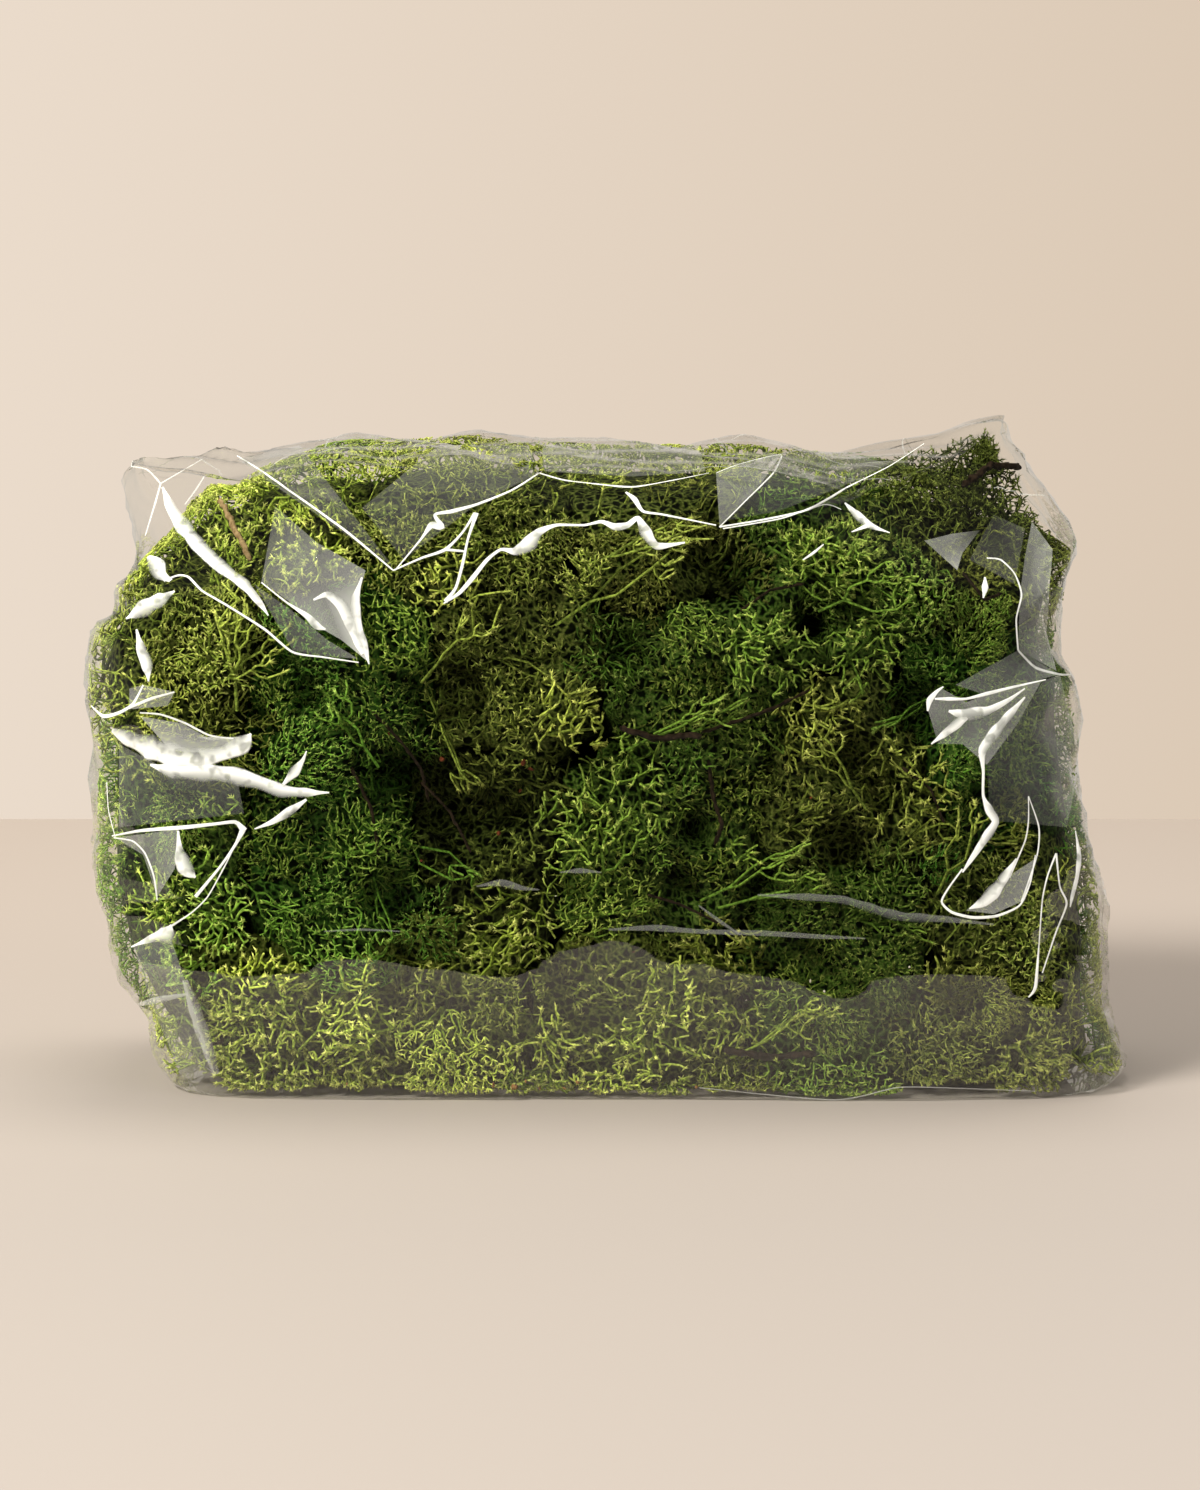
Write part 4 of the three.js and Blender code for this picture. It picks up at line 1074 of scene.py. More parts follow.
# Sharp folds of the front film, painted white as stress whitening and as the highlights they catch:
# how white, then x, height and width along each.
FOLDS = {
    "long fold of the left shoulder": (
        0.95, (-106, 187, 0.5), (-98, 182, 0.8), (-81, 170, 0.9), (-73, 164, 1.0), (-61, 154, 0.6),
    ),
    "fold up from the valley": (
        0.95, (-60.5, 154, 0.5), (-53, 163, 0.9), (-50, 167, 2.0), (-47, 166.5, 2.0), (-49, 170, 1.2),
        (-44, 171, 1.6), (-37, 173, 1.1), (-27, 177, 0.9), (-19, 182, 0.8),
    ),
    "fold along the top": (
        0.9, (-19, 182, 0.8), (-12, 180, 1.0), (-4, 179, 0.8), (8, 178, 0.9), (20, 180, 0.6),
        (30, 182, 0.5),
    ),
    "broad blade of the left shoulder": (
        1.0, (-127.5, 178, 0.9), (-125, 172, 3.0), (-121, 166, 4.2), (-116, 160, 3.6), (-110, 154.5, 3.4),
        (-104, 150, 2.8), (-99, 144, 1.8), (-97, 141, 0.5),
    ),
    "pinch at the left": (
        1.0, (-131.5, 158, 1.6), (-129.5, 156, 4.6), (-128, 152.5, 3.2), (-125, 151, 1.6),
    ),
    "fold under the left shoulder": (
        0.95, (-127, 151, 1.6), (-123, 152.5, 1.2), (-120, 152, 1.1), (-116, 148, 1.0), (-109, 144, 0.9),
        (-98, 137, 1.0), (-90, 130.5, 0.9), (-81, 129, 0.7), (-71, 127.5, 0.5),
    ),
    "small blade at the left edge": (
        1.0, (-138, 140, 1.0), (-133, 143, 4.2), (-128, 145.5, 4.6), (-124, 148, 1.2),
    ),
    "hanging blade at the left edge": (
        1.0, (-135, 137, 0.8), (-133.5, 131, 2.8), (-132, 127, 3.2), (-131.5, 122, 0.6),
    ),
    "bright edge of the star": (
        1.0, (-70, 152, 0.8), (-72, 145, 2.4), (-71, 137, 2.6), (-69, 131, 2.0), (-68, 127, 0.5),
    ),
    "bright arm of the star": (
        1.0, (-84, 145.5, 0.8), (-80, 147, 2.0), (-76, 144, 3.4), (-73, 138, 3.4), (-69.5, 130, 2.0),
    ),
    "lower arm of the star": (
        1.0, (-99, 150.5, 0.5), (-92, 145, 0.8), (-86, 141, 1.8), (-83, 138, 2.2), (-80.5, 137, 0.8),
    ),
    "left leg of the tent": (
        0.95, (-61, 154, 0.6), (-53, 157.5, 0.9), (-46, 160, 1.3), (-41, 165, 0.9), (-37.5, 170.5, 1.2),
    ),
    "right leg of the tent": (
        0.95, (-37, 170.5, 1.6), (-39.5, 163, 1.0), (-41, 156, 1.2), (-43, 149, 1.2), (-46, 145, 1.6),
    ),
    "bar of the tent": (0.9, (-46, 160, 1.2), (-40.5, 159.5, 0.9)),
    "wandering fold": (
        1.0, (-46.5, 144.5, 0.6), (-42, 147.5, 1.4), (-38, 152, 1.6), (-34, 157, 1.4), (-30, 160, 1.2),
        (-26, 159.5, 2.2), (-22, 161.5, 4.6), (-19, 165, 2.4), (-14, 167, 1.3), (-6, 167, 1.0),
        (-1, 168, 1.4), (3, 166.5, 2.2), (6.5, 167, 2.0), (9.5, 169, 1.8), (12, 164.5, 3.0),
        (15, 161, 2.2), (23, 162, 0.8),
    ),
    "spot above the wandering fold": (
        1.0, (6, 176.5, 0.8), (8.5, 174.5, 1.8), (11, 171, 1.2), (17, 170, 0.9), (32, 167, 0.5),
    ),
    "left edge of the right sail": (
        0.75, (32, 182, 0.5), (37, 184, 0.6), (44, 186, 0.7), (51, 187.5, 0.6),
    ),
    "right edge of the right sail": (
        0.75, (51, 187, 0.6), (48.5, 182, 0.7), (41, 174.5, 0.6), (33, 166.5, 0.6),
    ),
    "long fold of the right shoulder": (
        0.95, (33, 166.5, 0.7), (45, 168.5, 0.7), (57, 171, 1.0), (64, 174.5, 0.9), (70, 178, 0.9),
        (82, 184, 0.8), (92, 190.5, 0.5),
    ),
    "low fold of the right shoulder": (
        0.8, (34, 166, 0.6), (51, 169, 0.6), (63, 173, 0.5), (68, 171.5, 0.5),
    ),
    "star of the right shoulder": (
        1.0, (69, 173.5, 0.8), (72.5, 170, 3.4), (76, 167, 3.0), (82, 164.8, 0.6),
    ),
    "foot of that star": (1.0, (76, 167, 2.0), (71, 165, 0.5)),
    "dash on the right": (0.9, (57, 157, 0.5), (60, 159, 1.1), (63, 161.5, 0.5)),
    "drop on the right": (0.9, (109.5, 152, 0.8), (109.5, 149, 2.0), (109, 146, 0.6)),
    "edge of the right panel": (
        0.85, (110, 157.5, 0.6), (114, 157, 0.9), (118, 153, 0.8), (120, 147, 0.8), (118.5, 140, 0.7),
        (119, 131, 0.8),
    ),
    "foot of the right panel": (0.6, (119, 131, 0.8), (124, 126, 1.2), (131, 124, 1.0), (135, 124, 0.6)),
    "beak of the pinch": (
        1.0, (93, 113.5, 0.8), (93.5, 116.5, 2.0), (95.5, 119, 1.4), (97.5, 120.5, 0.6),
    ),
    "top of the pinch": (
        1.0, (95, 117, 0.8), (99, 117, 1.4), (104, 117, 1.0), (110, 118.5, 1.4), (118, 120.5, 1.0),
        (127, 122.5, 0.5),
    ),
    "upper body of the pinch": (
        1.0, (99, 113.5, 1.0), (104, 112.5, 3.4), (110, 113.5, 2.6), (116, 116.5, 1.6), (121, 120, 0.6),
    ),
    "lower body of the pinch": (
        1.0, (121, 117.5, 0.8), (117, 113, 2.2), (112.5, 107.5, 3.0), (109, 102.5, 2.6), (108.5, 99, 1.2),
    ),
    "tail of the pinch": (1.0, (104, 112, 2.4), (98.5, 107.5, 2.4), (94, 104, 0.6)),
    "stem below the pinch": (
        1.0, (108.5, 101, 2.0), (109, 96, 1.2), (109, 89, 1.2), (111, 84.5, 2.6), (112.5, 81.5, 2.4),
        (109, 76, 2.4), (105, 70, 1.6), (103, 67, 0.6),
    ),
    "pocket at the right": (
        0.95, (103, 68, 0.7), (99, 62.5, 0.8), (97, 58.5, 0.9), (100, 55.5, 1.1), (106, 54, 1.2),
        (113, 54.5, 1.1), (119.5, 57.5, 0.8), (122.5, 64, 0.7), (124, 72, 0.5),
    ),
    "bright fold in the pocket": (
        1.0, (105, 56.5, 0.6), (109, 58.5, 3.2), (112.5, 62, 3.4), (116, 67, 2.2), (118.5, 71, 0.6),
    ),
    "first upright fold at the right": (
        0.9, (122, 89, 0.4), (122, 82, 0.6), (121, 76, 0.7), (116.5, 65.5, 0.8),
    ),
    "second upright fold at the right": (
        0.9, (122, 89, 0.4), (125, 80, 0.7), (124.5, 72, 0.6), (120, 58.5, 0.8),
    ),
    "tall loop, left side": (
        0.95, (130, 72.5, 0.9), (127.5, 66, 0.7), (126, 59, 0.7), (125, 46, 0.7), (124, 34, 1.4),
        (122, 31, 0.6),
    ),
    "tall loop, right side": (
        0.95, (130, 72.5, 0.9), (131, 63, 0.8), (133, 58, 1.0), (130, 50, 0.8), (126, 38, 0.6),
    ),
    "upright blade at the right": (
        1.0, (135.5, 79, 0.5), (136.5, 72, 2.0), (136, 66, 1.6), (134.5, 60, 1.9), (134, 57, 0.6),
    ),
    "fold at the left edge": (
        0.95, (-148, 115, 0.6), (-144.5, 112, 1.4), (-140, 113, 1.3), (-136, 115.5, 1.2),
        (-133, 121, 0.7),
    ),
    "its branch": (0.85, (-138, 114, 0.9), (-131, 117, 1.2), (-124, 119, 0.6)),
    "broad left band": (
        1.0, (-142, 108, 1.6), (-138, 106, 4.0), (-132, 103.5, 6.0), (-125, 101, 6.4), (-117, 100, 5.0),
        (-110, 101.5, 4.4), (-104.5, 104, 4.6), (-102, 107, 0.8),
    ),
    "lower left band": (
        1.0, (-131, 98, 1.0), (-124, 96, 3.6), (-116, 96, 4.6), (-108, 95, 4.4), (-100, 93, 4.0),
        (-93, 90.5, 3.2), (-86, 90, 2.4), (-79.5, 90, 0.6),
    ),
    "spike of the left band": (1.0, (-93, 92, 1.0), (-89.5, 96, 2.6), (-87, 99.5, 1.4), (-86, 102, 0.4)),
    "thread under the left band": (
        0.95, (-101, 79.5, 0.5), (-96, 81.5, 1.8), (-91, 84.5, 2.4), (-86, 88, 1.0),
    ),
    "upper edge of the band": (
        0.8, (-134, 113, 0.6), (-128, 112.5, 0.8), (-121, 110, 0.9), (-114, 106.5, 0.8),
        (-107, 105.5, 0.6),
    ),
    "low ridge at the left": (
        0.95, (-142, 77.5, 0.6), (-134, 79, 1.2), (-121, 80, 1.5), (-112, 81, 1.2), (-106.5, 81.5, 1.4),
        (-104, 79, 2.2),
    ),
    "its fall": (0.95, (-104, 80, 2.0), (-106.5, 75, 1.2), (-111, 68.5, 1.0), (-118, 60, 1.4)),
    "left loop": (
        0.85, (-141.5, 77, 0.6), (-136, 76, 0.8), (-132.5, 72.5, 0.8), (-130, 66, 0.8), (-129, 59, 0.6),
    ),
    "white wedge": (1.0, (-123, 79, 0.8), (-122.5, 73, 2.4), (-121, 68.5, 5.0), (-118, 65.5, 0.8)),
    "upright thread at the left": (0.8, (-143.5, 93, 0.5), (-143, 85, 0.7), (-141, 77, 0.6)),
    "falling thread at the left": (
        0.85, (-107, 74, 0.5), (-110, 68, 0.6), (-114.5, 60, 0.6), (-119, 55.5, 0.6), (-125, 51.5, 0.9),
    ),
    "low blade at the left": (
        1.0, (-136.5, 45.5, 0.5), (-130.5, 48, 2.4), (-126, 49.5, 4.0), (-125, 52, 0.6),
    ),
    "pale streak low at the left": (0.3, (-121, 36, 2.0), (-117, 24, 4.0), (-112, 9, 2.0)),
    "pale streak at the left corner": (0.3, (-136, 28.5, 1.0), (-128, 30.5, 2.2), (-120, 32, 1.0)),
    "seam along the base": (
        0.35, (27, 5, 0.4), (66, 1.5, 0.7), (84, 5, 0.6), (97, 5, 0.5), (124, 4, 0.4),
    ),
    "spoke of the left ear, left": (0.55, (-137, 184, 0.5), (-132, 183, 0.9), (-128, 179, 0.8)),
    "spoke of the left ear, right": (0.55, (-128, 179, 0.8), (-122, 182.5, 0.8), (-116, 186, 0.5)),
    "spoke of the left ear, down": (0.75, (-128, 179, 0.9), (-130, 172, 0.8), (-132.5, 164, 0.5)),
    "thread of the left ear": (0.45, (-115.5, 181, 0.6), (-118, 177, 0.9), (-121, 173, 0.5)),
}
# Flat facets between the folds, with a faint painted reflection: how white each corner is painted, as
# x, height and share.
FACETS = {
    "star of the left shoulder": (
        (-95, 172.5, 0.06), (-83, 162, 0.16), (-69, 154, 0.3), (-71.5, 145, 0.6), (-68, 127.5, 0.8),
        (-76, 134, 0.35), (-83, 138, 0.4), (-91, 145, 0.3), (-99, 150.7, 0.14),
    ),
    "dark flap under the star": (
        (-101, 150, 0.1), (-91, 143, 0.12), (-80, 134, 0.14), (-71, 128.5, 0.2), (-82, 129.5, 0.1),
        (-90, 131, 0.1),
    ),
    "right sail": ((32, 182, 0.2), (42, 185.5, 0.22), (51, 187.5, 0.26), (45, 179, 0.2), (33, 167, 0.16)),
    "hazy patch at the right": (
        (92, 162.5, 0.2), (100, 164.5, 0.2), (108, 165.5, 0.04), (103, 159, 0.2), (101.5, 154, 0.36),
        (97, 158, 0.2),
    ),
    "right panel": (
        (119.5, 147, 0.14), (121, 158, 0.16), (123, 168, 0.22), (129, 160, 0.3), (128, 148, 0.26),
        (127, 134, 0.24), (130, 125, 0.3), (119, 131, 0.16),
    ),
    "haze of the pinch": (
        (93, 114, 0.24), (97, 120, 0.2), (104, 116, 0.3), (112, 119, 0.26), (126, 122.5, 0.24),
        (119, 110, 0.2), (110, 98, 0.3), (103, 104, 0.2), (96, 104, 0.12),
    ),
    "panel over the pinch": (
        (119, 131, 0.1), (101, 121, 0.12), (110, 118, 0.14), (127, 123, 0.16), (131, 124, 0.2),
    ),
    "panel beside the pinch": (
        (126, 122, 0.1), (131, 124, 0.16), (137, 100, 0.14), (133, 80, 0.08), (111, 82, 0.03),
        (110, 98, 0.05), (119, 110, 0.08),
    ),
    "haze of the pocket": (
        (104, 56, 0.3), (112, 55, 0.3), (121, 59, 0.3), (124, 71, 0.3), (112, 63, 0.2),
    ),
    "panel of the right ear": ((112, 170, 0.02), (105, 157, 0.04), (118, 150, 0.06), (121, 166, 0.06)),
    "panel of the low left": (
        (-136, 46, 0.14), (-125, 48, 0.16), (-119, 30, 0.12), (-112, 8, 0.12), (-122, 8, 0.12),
        (-131, 30, 0.1),
    ),
    "panel under the left band": (
        (-140, 104, 0.1), (-125, 96, 0.14), (-106, 94, 0.1), (-104, 84, 0.06), (-122, 82, 0.08),
        (-140, 80, 0.1),
    ),
    "haze over the top, left": ((-106, 186, 0.1), (-88, 190, 0.1), (-61, 155, 0.06), (-80, 168, 0.08)),
    "haze over the top, middle left": (
        (-48, 190, 0.1), (-22, 190, 0.12), (-19, 182, 0.1), (-37, 173, 0.07), (-58, 157, 0.05),
        (-70, 172, 0.06),
    ),
    "haze over the top, middle": (
        (-18, 190, 0.12), (4, 191, 0.1), (27, 190, 0.12), (29, 182.5, 0.1), (8, 181, 0.08),
        (-18, 182.5, 0.12),
    ),
    "haze beside the right sail": (
        (33, 168, 0.03), (52, 188, 0.08), (70, 188, 0.1), (82, 184.5, 0.08), (68, 178, 0.06),
        (50, 171, 0.04),
    ),
    "left band's veil": (
        (-134, 112, 0.3), (-122, 110, 0.25), (-113, 105, 0.3), (-105, 106, 0.5), (-106, 101, 0.5),
        (-125, 102, 0.5),
    ),
    "left blade's veil": (
        (-137, 120, 0.2), (-133, 121, 0.3), (-124, 119, 0.3), (-126, 115, 0.2), (-137, 114, 0.3),
    ),
    "low left flap": (
        (-141, 77, 0.2), (-123, 79.5, 0.25), (-124, 68, 0.3), (-129, 60, 0.2), (-133, 72, 0.2),
    ),
}
# Shallow creases that turn the film's gloss and carry a faint painted reflection of the floor: x,
# height and width along each.
RIBBONS = (
    ((44, 60.5, 0.8), (56, 60, 2.0), (69, 59, 2.2), (84, 54.5, 2.6), (98, 53.5, 2.0), (112, 52, 0.8)),
    ((1, 50.5, 0.8), (14, 51, 2.0), (27, 50, 1.6), (45, 49.5, 1.8), (62, 48.5, 1.6), (75, 48, 0.6)),
    ((27, 57.5, 0.6), (33, 53, 1.4), (39, 49, 0.6)),
    ((-37, 63, 0.6), (-30, 64, 2.2), (-24, 62.5, 1.6), (-19, 62, 0.5)),
    ((-13, 67, 0.5), (-7, 67.5, 1.8), (-1, 67, 0.5)),
    ((-81, 50, 0.5), (-70, 50.5, 1.0), (-59, 50, 0.5)),
)
RIBBON_REFLECTION = 0.11  # a ribbon's painted reflection of the floor, and how far it stands up, as a share of its width
RIBBON_LIFT = 0.02
FOLD_LIFT = 0.1
FOLD_CLEARANCE = 0.12  # from the sheet to the foot of a fold
NARROWEST_FOLD = 0.3
TAUT_BACK = 0.75  # the share of the crinkles that are left out of the middle of the back
FACET_REFLECTION_SHARE = 0.72  # how white a facet's painted reflection is, as a share of what its corners say
FACET_STEP = 2.2  # about how long the sides of its triangles are
CRINKLES = 90
VENT_RADIUS = 2.6
VENT_PLACES = ((-150, 6, 66), (150, 6, 66))
SHEET_INSET = 0.5  # how far the crumpled film lies inside its smooth form on average
SHEET_FOOT = 0.15
# Where the rows of the film's grid lie, from -1 to 1: closest together where it turns under.
ROW_HEIGHTS = ((-1, -1), (-0.85, -0.72), (0, -0.3), (1, 1))


def fold_wave(phase):
    """A wave of flat slopes with sharp turns, from -1 to 1."""
    return 2 * np.abs(2 * (phase - np.floor(phase + 0.5))) - 1


def crumple(points, outward):
    """How far the film stands off its smooth form: long flat facets that meet in sharp folds."""
    x, y, z = points.T
    # Four waves of facets, 34, 27, 13 and 8 mm apart, that run in different directions.
    bend = 5 * np.sin(x / 31 + 1) + 4 * np.sin(z / 23 + 2) + 4 * np.sin(y / 19)
    coarse = fold_wave((0.8 * x + 0.55 * z + 0.4 * y + bend) / 34)
    cross = fold_wave((-0.5 * x + 0.9 * z - 0.5 * y + 1.4 * bend) / 27 + 0.3)
    small = fold_wave((0.3 * x + 1.0 * z + 0.9 * y - bend) / 13 + 0.6)
    fine = fold_wave((1.0 * x - 0.4 * z + 0.6 * y + 2 * bend) / 8 + 0.1)
    # The middle of the front is taut. The ears crumple most, and the left one is drawn in.
    ends = smoothstep(np.abs(x), 105, 140)
    top = smoothstep(z, 150, 185)
    front = smoothstep(-outward[:, 1], 0.3, 0.9)
    slack = np.maximum(ends, top) * front + (1 - front)
    ear = smoothstep(np.abs(x), 92, 112) * smoothstep(z, 168, 182)
    drawn_in = 2.6 * ear * (x < 0)
    shaken = np.where(x < 0, 0.9, 0.4)
    rough = (slack + shaken * ear) * (1.1 * coarse + 0.8 * cross + 0.5 * small + 0.2 * fine) - drawn_in
    return rough * smoothstep(z, 1, 9)


def grid_normals(points, faces):
    """The way out at each point of a grid of quads."""
    one, other = (points[faces[:, k + 2]] - points[faces[:, k]] for k in (0, 1))
    crosses = np.cross(one, other)
    normals = np.zeros_like(points)
    for k in range(4):
        np.add.at(normals, faces[:, k], crosses)
    return unit(normals)


def follow(points, step):
    """A smooth line through the points, with a place about every step. A point's last value is its
    width."""
    points = np.array(points, float)
    rows = [points[0]]
    for k in range(len(points) - 1):
        before, here, there, after = (points[np.clip(k + j, 0, len(points) - 1)] for j in (-1, 0, 1, 2))
        count = max(2, math.ceil(np.linalg.norm((there - here)[:-1]) / step))
        for t in np.arange(1, count + 1) / count:
            leave = (there - before) * 0.35
            arrive = (after - here) * 0.35
            rows.append(
                here * (1 + 2 * t) * (1 - t) ** 2
                + there * (3 - 2 * t) * t**2
                + leave * t * (1 - t) ** 2
                - arrive * (1 - t) * t**2
            )
    return np.array(rows)


def arrays(found):
    """Many places, each with the way out there, as two arrays."""
    places, normals = zip(*found)
    return np.array(places), np.array(normals)


class Sheet:
    """The film sheet, to find places on it and the ways out there."""

    def __init__(self, points, faces):
        self.tree = BVHTree.FromPolygons([tuple(p) for p in points], [tuple(f) for f in faces])

    def seen_at(self, x, z):
        """What a measured point of the view shows of the front film."""
        across, above = (x - MEASURED_MIDDLE[0]) * MEASURE, (z - MEASURED_MIDDLE[1]) * MEASURE
        way = Vector(FORWARD + RIGHTWARD * across + UPWARD * above).normalized()
        place, normal, _, _ = self.tree.ray_cast(Vector(EYE), way)
        if place is None:
            return self.nearest((x, 0, z))
        return np.array(place), np.array(normal)

    def nearest(self, point):
        """The place on the film that is nearest to a point."""
        place, normal, _, _ = self.tree.find_nearest(Vector(point))
        return np.array(place), np.array(normal)

    def line_at(self, points):
        """The places nearest to many points, and the ways out there, as two arrays."""
        return arrays(self.nearest(point) for point in points)

    def line_seen_at(self, points):
        """The same for measured points of the view, each of x, height and one more value."""
        return arrays(self.seen_at(x, z) for x, z, _ in points)


# Across a fold, from one edge to the other: place in half widths, height and how white it is painted,
# as stress whitening and painted highlight, where it is narrow and where it is broad.
ACROSS = np.array([-1.14, -0.92, -0.3, 0.3, 0.92, 1.14])
RAISED = np.array([0, 0.6, 1, 0.8, 0.3, 0])
CRISP = np.array([0, 1, 1, 1, 1, 0])
FADING = np.array([0, 1, 0.95, 0.6, 0.2, 0])


def fold_strip(places, normals, widths, whiteness_and_glint, lift, turned=False, uneven=1.0):
    """A sharp fold that stands up from the sheet along a line: points, faces and shades. Its white is
    stress whitening and painted highlight together. A broad fold fades towards one of its edges, and
    turned says that it is the first of them."""
    normals = unit(normals + np.roll(normals, 1, axis=0) * 0.3 + np.roll(normals, -1, axis=0) * 0.3)
    way = unit(np.gradient(places, axis=0))
    side = unit(np.cross(way, normals))
    side = -side if turned else side
    half = np.maximum(widths, NARROWEST_FOLD)[:, None, None] / 2
    points = (
        places[:, None]
        + side[:, None] * half * ACROSS[None, :, None]
        + normals[:, None] * (FOLD_CLEARANCE + lift * 2 * half * RAISED[None, :, None])
    )
    faces = grid_quads(len(places), len(ACROSS))[:, [0, 3, 2, 1]]
    shades = np.zeros((len(places), len(ACROSS), 4))
    broad = smoothstep(widths, 1.3, 2.6)[:, None]
    shades[..., 0] = whiteness_and_glint * (CRISP * (1 - broad) + FADING * broad)
    shades[..., 1] = uneven * (0.35 + 0.65 * smoothstep(widths, 0.9, 2)[:, None])
    shades[..., 3] = 1
    return points.reshape(-1, 3), faces, shades.reshape(-1, 4)


def reflection(sheet, corners):
    """A facet with a faint painted reflection, lying on the sheet: a fan of fine triangles round the
    middle of its corners.
    """
    corners = np.array(corners, float)
    middle = corners.mean(axis=0) * [1, 1, 0.8]
    points = []
    faces = []
    for here, there in zip(corners, np.roll(corners, -1, axis=0)):
        reach = max(np.linalg.norm((corner - middle)[:2]) for corner in (here, there))
        steps = max(2, math.ceil(reach / FACET_STEP))
        first = len(points)
        for i in range(steps + 1):
            for j in range(i + 1):
                share = j / i if i else 0
                points.append(middle + (here + (there - here) * share - middle) * i / steps)
        for i in range(steps):
            row, below = first + i * (i + 1) // 2, first + (i + 1) * (i + 2) // 2
            for j in range(i + 1):
                faces.append((row + j, below + j, below + j + 1))
                if j < i:
                    faces.append((row + j, below + j + 1, row + j + 1))
    places, normals = sheet.line_seen_at(points)
    shades = np.zeros((len(points), 4))
    shades[:, 0] = [FACET_REFLECTION_SHARE * share for _, _, share in points]
    shades[:, 3] = 1
    return places + normals * FOLD_CLEARANCE, np.array(faces), shades


def crinkles(draw, sheet, count):
    """Folds scattered over the top, the ends and the back, where none was listed."""
    points, ways = scatter(draw, {FRONT: 8, RIM: 8, BACK: 8})
    rows = []
    for number in draw.permutation(len(points)):
        if len(rows) >= count:
            break
        place, way = points[number], ways[number]
        if way[1] < -0.5 or way[2] < -0.3:
            continue
        taut = way[1] > 0.8 and abs(place[0]) < 100 and place[2] < 150
        if taut and draw.random() < TAUT_BACK:
            continue
        heading = unit(draw.normal(0, 1, 3))
        broadest = 0.7 if way[2] > 0.5 else 1.0
        # Painted white: stress whitening and painted highlight, stronger on the back film.
        whiteness_and_glint = draw.uniform(0.15, 0.5) if way[1] > 0.6 else draw.uniform(0.08, 0.3)
        stops = [place]
        for _ in range(draw.integers(2, 6)):
            heading = unit(heading - way * (heading @ way) + draw.normal(0, 0.12, 3))
            place, way = sheet.nearest(place + heading * draw.uniform(6, 18))
            if way[1] < -SIDEWAYS:
                break
            stops.append(place)
        if len(stops) < 3:
            continue
        broad = np.array([NARROWEST_FOLD, *draw.uniform(0.3, broadest, len(stops) - 2), NARROWEST_FOLD])
        line = follow(np.column_stack([stops, broad]), 1.4)
        places, normals = sheet.line_at(line[:, :3])
        rows.append(fold_strip(places, normals, line[:, 3], whiteness_and_glint, FOLD_LIFT))
    return rows


def film_piece(name, parts):
    """One piece of the bag's film."""
    dress(new_mesh(name, *join(parts)), FILM, "clear_film", "film_bag")


def vent_ring(sheet, middle):
    """The rim of a small punched vent, as a ring painted white: a painted highlight. The hole is not cut."""
    turns = np.linspace(0, 2 * math.pi, 25)
    ring = [middle + SHIFT + VENT_RADIUS * np.array([0, math.cos(turn), math.sin(turn)]) for turn in turns]
    places, normals = sheet.line_at(ring)
    return fold_strip(places, normals, np.full(len(turns), 0.5), 0.7, FOLD_LIFT)


def drawn_fold(sheet, line, whiteness_and_glint, lift, turned=False, uneven=1.0):
    """A fold placed by its measured line across the view. A narrow one is drawn narrower still, and the
    edges of a broad one are ragged."""
    smooth = follow(line, 0.9)
    places, normals = sheet.line_seen_at(smooth)
    broad = smoothstep(smooth[:, 2], 0.9, 2.8)
    ragged = 1 + 0.12 * broad * np.sin(smooth[:, 0] * 0.7 + 2 * np.sin(smooth[:, 1] * 0.4))
    widths = smooth[:, 2] * (0.64 + 0.36 * broad) * ragged
    return fold_strip(places, normals, widths, whiteness_and_glint, lift, turned, uneven)


def make_sheet():
    """The film itself, crumpled, and the same surface to find places on."""
    cube, faces = cube_grid(120, 36, 80)
    cube[:, 2] = along(ROW_HEIGHTS, cube[:, 2])
    points = film_point(*cube.T) + SHIFT
    outward = grid_normals(points, faces)
    points = points + outward * (crumple(points, outward) - SHEET_INSET)[:, None]
    points[:, 2] = np.maximum(points[:, 2], SHEET_FOOT)
    shades = np.tile([0.0, 0.5, 0.0, 1.0], (len(points), 1))
    shades[:, 2] = smoothstep(outward[:, 1], -0.4, 0.3)  # from the front to the ends and the back
    film_piece("film_sheet", [(points, faces, shades)])
    return Sheet(points, faces)


def make_folds(sheet):
    """The folds, ribbons, crinkles, facets and vent rings that lie on the sheet, painted white in places
    as stress whitening, painted highlights and painted reflections.
    """
    draw = np.random.default_rng(FILM_SEED)
    folds = [
        drawn_fold(sheet, line, whiteness_and_glint, FOLD_LIFT, turned=k % 2 == 1)
        for k, (whiteness_and_glint, *line) in enumerate(FOLDS.values())
    ]
    film_piece("film_front_folds", folds)
    ribbons = [drawn_fold(sheet, line, RIBBON_REFLECTION, RIBBON_LIFT, uneven=0.0) for line in RIBBONS]
    film_piece("film_ribbons", ribbons)
    film_piece("film_crinkles", crinkles(draw, sheet, CRINKLES))
    film_piece("film_facets", [reflection(sheet, corners) for corners in FACETS.values()])
    film_piece("film_vents", [vent_ring(sheet, np.array(middle)) for middle in VENT_PLACES])


# ------------------------------------------------------------------ litter

ROD_SIDES = 9
ROD_STEPS = 26


